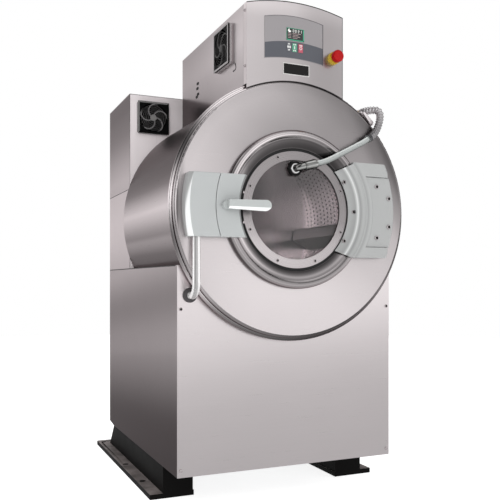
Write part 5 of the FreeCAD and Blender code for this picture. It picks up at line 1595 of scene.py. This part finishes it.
    def display(self) -> None:
        """The screen's border, running symbol, digits and lines."""
        left, right, low, high = -36, 29, 1537, 1578
        form = Form("screen_border")
        for edge in ((left, low, right, low + 3.5), (right - 4, low, right, high),
                     (left, high - 1.5, right, high), (left, low, left + 1.5, high)):
            self.bar(form, *edge, self.screen)
        form.place(SCREEN_EDGE, Body.CABINET, Slot.DISPLAY)
        form = Form("screen_marks")
        for x, segments in ((-13, "abcdef"), (-4.5, "abcdef"), (6, "abged"), (14.5, "bc")):
            self.digit(form, x, 1565, segments)
        x, z, radius = -25, 1569.5, 6.0
        wedge = [mm(x + radius * math.cos(a), self.screen, z + radius * math.sin(a))
                 for a in turns(17, 95, 276.25)]
        form.slab(wedge + [mm(x, self.screen, z)], behind(self.mark))
        form.place(SCREEN_MARK, Body.CABINET, Slot.DISPLAY)
        form = Form("screen_lines")
        for row, reach in enumerate((32, 22, 28, 18)):
            z = 1560 - 5 * row
            for start, length in ((-31, 12), (-14, reach)):
                self.bar(form, start, z, start + length, z + 1.6, self.screen)
        form.place(SCREEN_LINE, Body.CABINET, Slot.DISPLAY)

    def keys(self) -> None:
        """The marks on the three keys: arrows, a bar and a ring."""
        front, middle = self.key, self.key_middle
        form = Form("select_arrows")
        for way in (-1, 1):
            foot, tip = middle + way * 8, middle + way * 14
            arrow = [mm(-32, front, foot), mm(-24, front, foot), mm(-28, front, tip)]
            form.slab(arrow[::way], behind(self.mark))
        for left in (-34, -27):
            self.bar(form, left, middle - 3.5, left + 5.5, middle + 4, front)
        form.place(KEY_MARK, Body.SELECT, Slot.WHITE_KEY)
        form = Form("start_bars")
        self.bar(form, -8.5, middle - 5, -5.5, middle + 5, front)
        for low in (middle - 12, middle + 8):
            for left in (-12, -6):
                self.bar(form, left, low, left + 4, low + 4, front)
        form.place(KEY_MARK, Body.START, Slot.WHITE_KEY)
        form = Form("stop_ring")
        for left in (11, 17):
            self.bar(form, left, middle + 7, left + 4.5, middle + 11.5, front)
        corners = [(5.0, 0.0), (3.4, 0.0), (3.4, self.mark), (5.0, self.mark)]
        form.lathe(scaled(corners), mm(16, front + self.mark, middle), -BACKWARD, steps=32)
        form.place(KEY_MARK, Body.STOP, Slot.WHITE_KEY)

    def capsule(self, wall: float, depth: float, z: float, share: float) -> list[Vector]:
        """The outline of a port on the side: a round-ended slot.

        Args:
            wall: Place to the right of the outline.
            depth: Depth of its middle.
            z: Height of its middle.
            share: Its size as a share of the whole port.

        Returns:
            The outline's corners.
        """
        corners = []
        for angle in turns(16):
            end = math.copysign(self.port_half, math.cos(angle))
            corners.append(mm(wall, depth + share * (end + self.port_radius * math.cos(angle)),
                              z + share * self.port_radius * math.sin(angle)))
        return corners

    def side_openings(self) -> None:
        """The bowed slot and the small ports on the left side."""
        wall = -self.half_width
        form = Form("side_slot")
        line = [Vector(place) for place in ((53.5, 1470), (48, 1463.5), (45, 1456.5), (45.4, 1451.2),
                                            (49, 1448), (58, 1446.6), (70, 1446.8))]
        outer = []
        inner = []
        for number, point in enumerate(line):
            ahead = (line[min(number + 1, len(line) - 1)] - line[max(number - 1, 0)]).normalized()
            aside = self.slot_half * Vector((-ahead.y, ahead.x))
            outer.append(mm(wall - 0.4, *(point + aside)))
            inner.append(mm(wall - 0.4, *(point - aside)))
        form.slab(outer + inner[::-1], Vector((0.5 * MM, 0.0, 0.0)))
        form.place(RUBBER, Body.CABINET, Slot.RUBBER)
        form = Form("side_ports")
        for depth, z in ((424, 1499), (428, 1481), (421, 1458), (435, 1450.5)):
            form.loft([self.capsule(wall - out, depth, z, share)
                       for out, share in ((0.0, 1.0), (1.2, 1.0), (1.5, 0.8), (0.6, 0.6))])
        form.place(RUBBER, Body.CABINET, Slot.RUBBER)

    def build(self) -> None:
        """Dress the tower, and add what its face and side carry."""
        dress(TOWER_SIDE, "control_hood", SHEET_EDGE)
        dress(TOWER_FRONT, "control_front_panel", SHEET_EDGE)
        dress(OVERLAY, "control_overlay", 0.2)
        dress(SCREEN, "display_window", 0.3)
        for key, finish in (("select_key", GREY_KEY), ("start_key", GREEN_KEY), ("stop_key", RED_KEY)):
            dress(finish, key, 0.4)
        dress(BOARD, "control_board")
        dress(YELLOW_COLLAR, "estop_collar")
        dress(RED_BUTTON, "estop_button")
        self.badge()
        self.trims()
        self.band()
        self.display()
        self.keys()
        self.side_openings()
        Fan(FanPlace.SIDE, mm(-180, 150, 1548), Vector((-1.0, 0.0, 0.0)), 62 * MM, FAN_SIDE, FAN_SPOKE,
            FAN_SPOKE, FAN_WIRE, FAN_BEZEL, half=69 * MM).build()


@dataclass
class Door:
    """The door with its glass, hinge and latch."""

    seal_bolt_circle: float = 199.5
    seal_bolt_angle: float = 14.0
    seal_bolt_half: float = 4.0
    seal_bolt_front: float = -54.0
    seal_bolt_back: float = -46.0
    ring_edge: float = 0.6
    paint_edge: float = 1.6
    lever_edge: float = 2.0
    bracket_bevel: float = 0.230
    bracket_shaded: float = -0.4
    housing_lit: float = 0.7
    lever_under: float = -0.5

    def turned_out(self, polygon: Face) -> float:
        """How far a face is turned away from the drum's axis."""
        return polygon.normal.dot(from_axis(polygon.center).normalized())

    def seal_bolts(self) -> None:
        """Two small bolts in the seal, at the latch's side."""
        form = Form("seal_bolts")
        half = self.seal_bolt_half
        for way in (-1, 1):
            angle = math.radians(180 + way * self.seal_bolt_angle)
            x = self.seal_bolt_circle * math.cos(angle)
            z = AXIS + self.seal_bolt_circle * math.sin(angle)
            add_screw(form, mm(x - half, self.seal_bolt_front, z - half),
                      mm(x + half, self.seal_bolt_back, z + half))
        form.place(BRIGHT, Body.DOOR, Slot.POLISHED, second=SOCKET_SHADE)

    def build(self) -> None:
        """Dress the door's pieces, and add its screws."""
        dress(DOOR_PAN, "door_pan")
        dress(RUBBER, "door_gasket glass_seal")
        dress(GROMMET, "conduit_grommet")
        dress(GLASS, "door_glass")
        dress(RING, "retaining_ring", self.ring_edge)
        dress(HINGE_PAINT_AND_HIGHLIGHTS, "hinge_arm hinge_block", self.paint_edge)
        dress(LATCH_PAINT, "latch_bracket latch_housing", self.paint_edge)
        repaint("latch_bracket", GREY_SHADE, lambda p: self.turned_out(p) < self.bracket_shaded
                and from_axis(p.center).length < self.bracket_bevel)
        # The housing's outward side takes a painted highlight.
        repaint("latch_housing", LATCH_SIDE_HIGHLIGHT, lambda p: self.turned_out(p) > self.housing_lit)
        dress(LEVER_PAINT, "latch_handle", self.lever_edge)
        # The lever's under bevel takes a painted highlight.
        repaint("latch_handle", LEVER_EDGE_HIGHLIGHT, lambda p: max(p.normal.z, p.normal.y) < self.lever_under)
        dress(CONDUIT, "lock_conduit")
        replace_screws("door_screws", Body.DOOR)
        self.seal_bolts()


@dataclass
class SprayLine:
    """The rinse line over the door, with its ribbed hose."""

    crest: float = 13.4 * MM
    root: float = 10.2 * MM
    crest_width: float = 0.7
    ribs: int = 19
    rib_steps: int = 10
    tube_end: Point = (0.272, -0.7565, 1.233)
    tube_way: Point = (0.036, 0.008, 0.022)
    gap: float = 0.0003
    lead: float = 0.038
    loop_top: Point = (0.326, -0.7485, 1.335)
    loop_dip: Point = (0.286, -0.7145, 1.338)
    supply: Point = (0.286, -0.6795, 1.338)
    collar: float = 0.018
    elbow: Point = (-8.0, -80.0, 1112.0)
    elbow_rise: float = 14.0
    ferrule_depth: float = -54.0

    def fittings(self) -> None:
        """The thick sleeve on the elbow and the bright ferrule at its root."""
        rise = math.radians(self.elbow_rise)
        form = Form("elbow_sleeve")
        profile = [(12.0, 21.0), (15.0, 21.5), (16.0, 24.0), (14.0, 27.0), (15.2, 31.0), (15.6, 48.0),
                   (16.4, 52.0), (16.4, 60.0), (15.0, 63.0), (9.9, 63.5)]
        form.lathe(scaled(profile), mm(*self.elbow), Vector((math.cos(rise), 0.0, math.sin(rise))), steps=40)
        form.place(ELBOW, Body.DOOR, Slot.POLISHED)
        form = Form("elbow_ferrule")
        ring = [(11.5, 0.0), (17.0, 0.0), (17.6, 2.0), (16.0, 4.5), (12.5, 5.0), (11.5, 4.0)]
        form.lathe(scaled(ring), mm(self.elbow[0], self.ferrule_depth, self.elbow[2]), -BACKWARD, steps=40)
        form.place(CHROME, Body.DOOR, Slot.POLISHED)

    def clamp(self) -> None:
        """The front bar of the strap that holds the hose at the tub's rim."""
        form = Form("strap_bar")
        front = ((259.6, 1324.7), (268.6, 1327.6), (304.8, 1294.1), (291.6, 1286.2))
        back = ((269.4, 1329.0), (278.4, 1332.0), (315.0, 1298.1), (301.6, 1290.2))
        form.loft([[mm(x, depth, z) for x, z in corners] for depth, corners in ((-46, front), (-31, back))])
        form.place(STRAP, Body.CABINET, Slot.STAINLESS, 1.2)

    def route(self) -> list[Vector]:
        """Points of the hose's middle line, read from a smooth curve along its route.

        Returns:
            The points, from the supply end to the door's end.
        """
        foot = Vector(self.tube_end)
        way = Vector(self.tube_way).normalized()
        control = [foot + way * self.gap, foot + way * self.lead, self.loop_top, self.loop_dip, self.supply]
        curve = bpy.data.curves.new("hose_route", "CURVE")
        curve.dimensions = "3D"
        curve.resolution_u = 90
        spline = curve.splines.new("NURBS")
        spline.points.add(len(control) - 1)
        for point, corner in zip(spline.points, control):
            point.co = (*corner, 1.0)
        spline.order_u = 3
        spline.use_endpoint_u = True
        holder = bpy.data.objects.new("hose_route", curve)
        line = bpy.data.meshes.new_from_object(holder)
        points = [vertex.co.copy() for vertex in line.vertices]
        bpy.data.objects.remove(holder)
        bpy.data.curves.remove(curve)
        bpy.data.meshes.remove(line)
        return points[::-1]

    def hose(self) -> None:
        """The ribbed hose, which runs from the cabinet to the door."""
        line = self.route()
        lengths = [0.0]
        for before, after in zip(line, line[1:]):
            lengths.append(lengths[-1] + (after - before).length)
        count = self.ribs * self.rib_steps
        path = []
        radii = []
        place = 0
        for step in range(count + 1):
            reach = lengths[-1] * step / count
            while place < len(line) - 2 and lengths[place + 1] < reach:
                place += 1
            share = (reach - lengths[place]) / (lengths[place + 1] - lengths[place])
            path.append(line[place].lerp(line[place + 1], share))
            wave = 0.5 - 0.5 * math.cos(2 * math.pi * step / self.rib_steps)
            radii.append(self.root + (self.crest - self.root) * wave ** self.crest_width)
        form = Form("spray_hose_ribbed")
        form.tube(path, radii, steps=28)
        obj = form.place(HOSE, None, Slot.PALE_TUBE)
        obj.data.shade_smooth()
        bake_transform(obj)
        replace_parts(obj, "spray_hose")

    def build(self) -> None:
        """Dress the line, and make its hose."""
        dress(NUT, "spray_nut", 1.2)
        dress(ELBOW, "spray_elbow")
        dress(TUBE, "spray_tube")
        repaint("spray_tube", COLLAR, lambda p: (p.center - Vector(self.tube_end)).length < self.collar)
        dress(STRAP, "spray_bracket", 0.8)
        self.fittings()
        self.clamp()
        self.hose()


@dataclass
class Lamp:
    """A soft square lamp that only diffuse surfaces see."""

    name: str
    place: Point
    power: float
    size: float = 2.4
    aim: Point = (0.0, -0.2, 0.85)

    def build(self) -> None:
        """Hang the lamp and aim it."""
        light = bpy.data.lights.new(self.name, "AREA")
        light.energy = self.power
        light.size = self.size
        obj = bpy.data.objects.new(self.name, light)
        bpy.context.scene.collection.objects.link(obj)
        obj.location = self.place
        obj.rotation_euler = (Vector(self.aim) - Vector(self.place)).to_track_quat("-Z", "Y").to_euler()
        obj.visible_camera = False
        obj.visible_glossy = False


@dataclass
class Studio:
    """The pale floor, the soft light and the camera."""

    camera_place: Point = (-1.0766, -2.7780, 0.7346)
    camera_turn: float = -23.17
    lens: float = 49.95
    sensor: float = 36.0
    shift: tuple[float, float] = (0.018, 0.065)
    floor_reach: float = 7.0
    floor_steps: int = 96
    floor_drop: float = -0.001
    sky: Stops = ((0.0, 235), (0.47, 245), (0.5, 250), (0.66, 245), (0.76, 180), (0.86, 175), (0.95, 250),
                  (1.0, 255))
    flags: Stops = ((0.0, 255), (0.1, 255), (0.13, 120), (0.2, 120), (0.24, 250), (0.4, 245), (0.55, 245),
                    (0.63, 130), (0.7, 130), (0.76, 255), (1.0, 255))
    lamps: tuple[Lamp, ...] = (
        Lamp("key_lamp", (-2.2, -3.4, 3.0), 42.0),
        Lamp("fill_lamp", (3.2, -2.6, 2.2), 20.0),
        Lamp("back_lamp", (0.6, 3.2, 3.0), 30.0),
        Lamp("drum_lamp", (-0.05, -0.55, 1.15), 0.8, 0.18, (0.3, -0.2, 0.98)))

    def camera(self) -> None:
        """Set the camera where the photograph was taken from."""
        data = bpy.data.cameras.new("photo_camera")
        data.lens = self.lens
        data.sensor_width = self.sensor
        data.shift_x, data.shift_y = self.shift
        obj = bpy.data.objects.new("photo_camera", data)
        obj.location = self.camera_place
        obj.rotation_euler = (math.radians(90), 0.0, math.radians(self.camera_turn))
        bpy.context.scene.collection.objects.link(obj)
        bpy.context.scene.camera = obj

    def floor(self) -> None:
        """Lay a pale round floor with a faint mottle."""
        mesh = bmesh.new()
        bmesh.ops.create_circle(mesh, cap_ends=True, radius=self.floor_reach, segments=self.floor_steps)
        data = bpy.data.meshes.new("studio_floor")
        mesh.to_mesh(data)
        mesh.free()
        data.materials.append(FloorPaint("studio_floor_white").material())
        obj = bpy.data.objects.new("studio_floor", data)
        obj.location = (0.0, 0.0, self.floor_drop)
        bpy.context.scene.collection.objects.link(obj)

    def world(self) -> None:
        """Surround the part with soft light: white where the camera looks, shaded where metal looks."""
        world = bpy.data.worlds.new("studio_light")
        world.use_nodes = True
        bpy.context.scene.world = world
        world.node_tree.nodes.clear()
        graph = Graph(world.node_tree)
        way = graph.add("ShaderNodeTexCoord").outputs["Generated"]
        parts = graph.add("ShaderNodeSeparateXYZ", {0: way}).outputs
        level = graph.ramp(graph.spread(parts["Z"], -1.0, 1.0, 0.0, 1.0), self.sky)
        turn = graph.math("ARCTAN2", parts["X"], parts["Y"])
        around = graph.spread(turn, -math.pi, math.pi, 0.0, 1.0)
        level = graph.multiply(level, graph.ramp(around, self.flags))
        shaded = graph.add("ShaderNodeBackground", {"Color": level, "Strength": 1.0})
        plain = graph.add("ShaderNodeBackground", {"Color": (1.0, 1.0, 1.0, 1.0), "Strength": 1.0})
        seen = graph.add("ShaderNodeLightPath").outputs["Is Camera Ray"]
        mixed = graph.add("ShaderNodeMixShader", {0: seen, 1: shaded.outputs[0], 2: plain.outputs[0]})
        graph.add("ShaderNodeOutputWorld", {"Surface": mixed.outputs[0]})

    def build(self) -> None:
        """Set up the floor, the light and the camera."""
        self.camera()
        self.floor()
        self.world()
        for lamp in self.lamps:
            lamp.build()
        bpy.context.scene.view_settings.view_transform = "Standard"


def main() -> None:
    """Build every sub-assembly in order."""
    logging.basicConfig(level=logging.INFO, format="%(name)s: %(message)s")
    for part in (Base(), RearHousing(), Tub(), Drum(), ControlTower(), Door(), SprayLine(), Studio()):
        LOG.info("building %s", type(part).__name__)
        part.build()


if __name__ == "__main__":
    main()
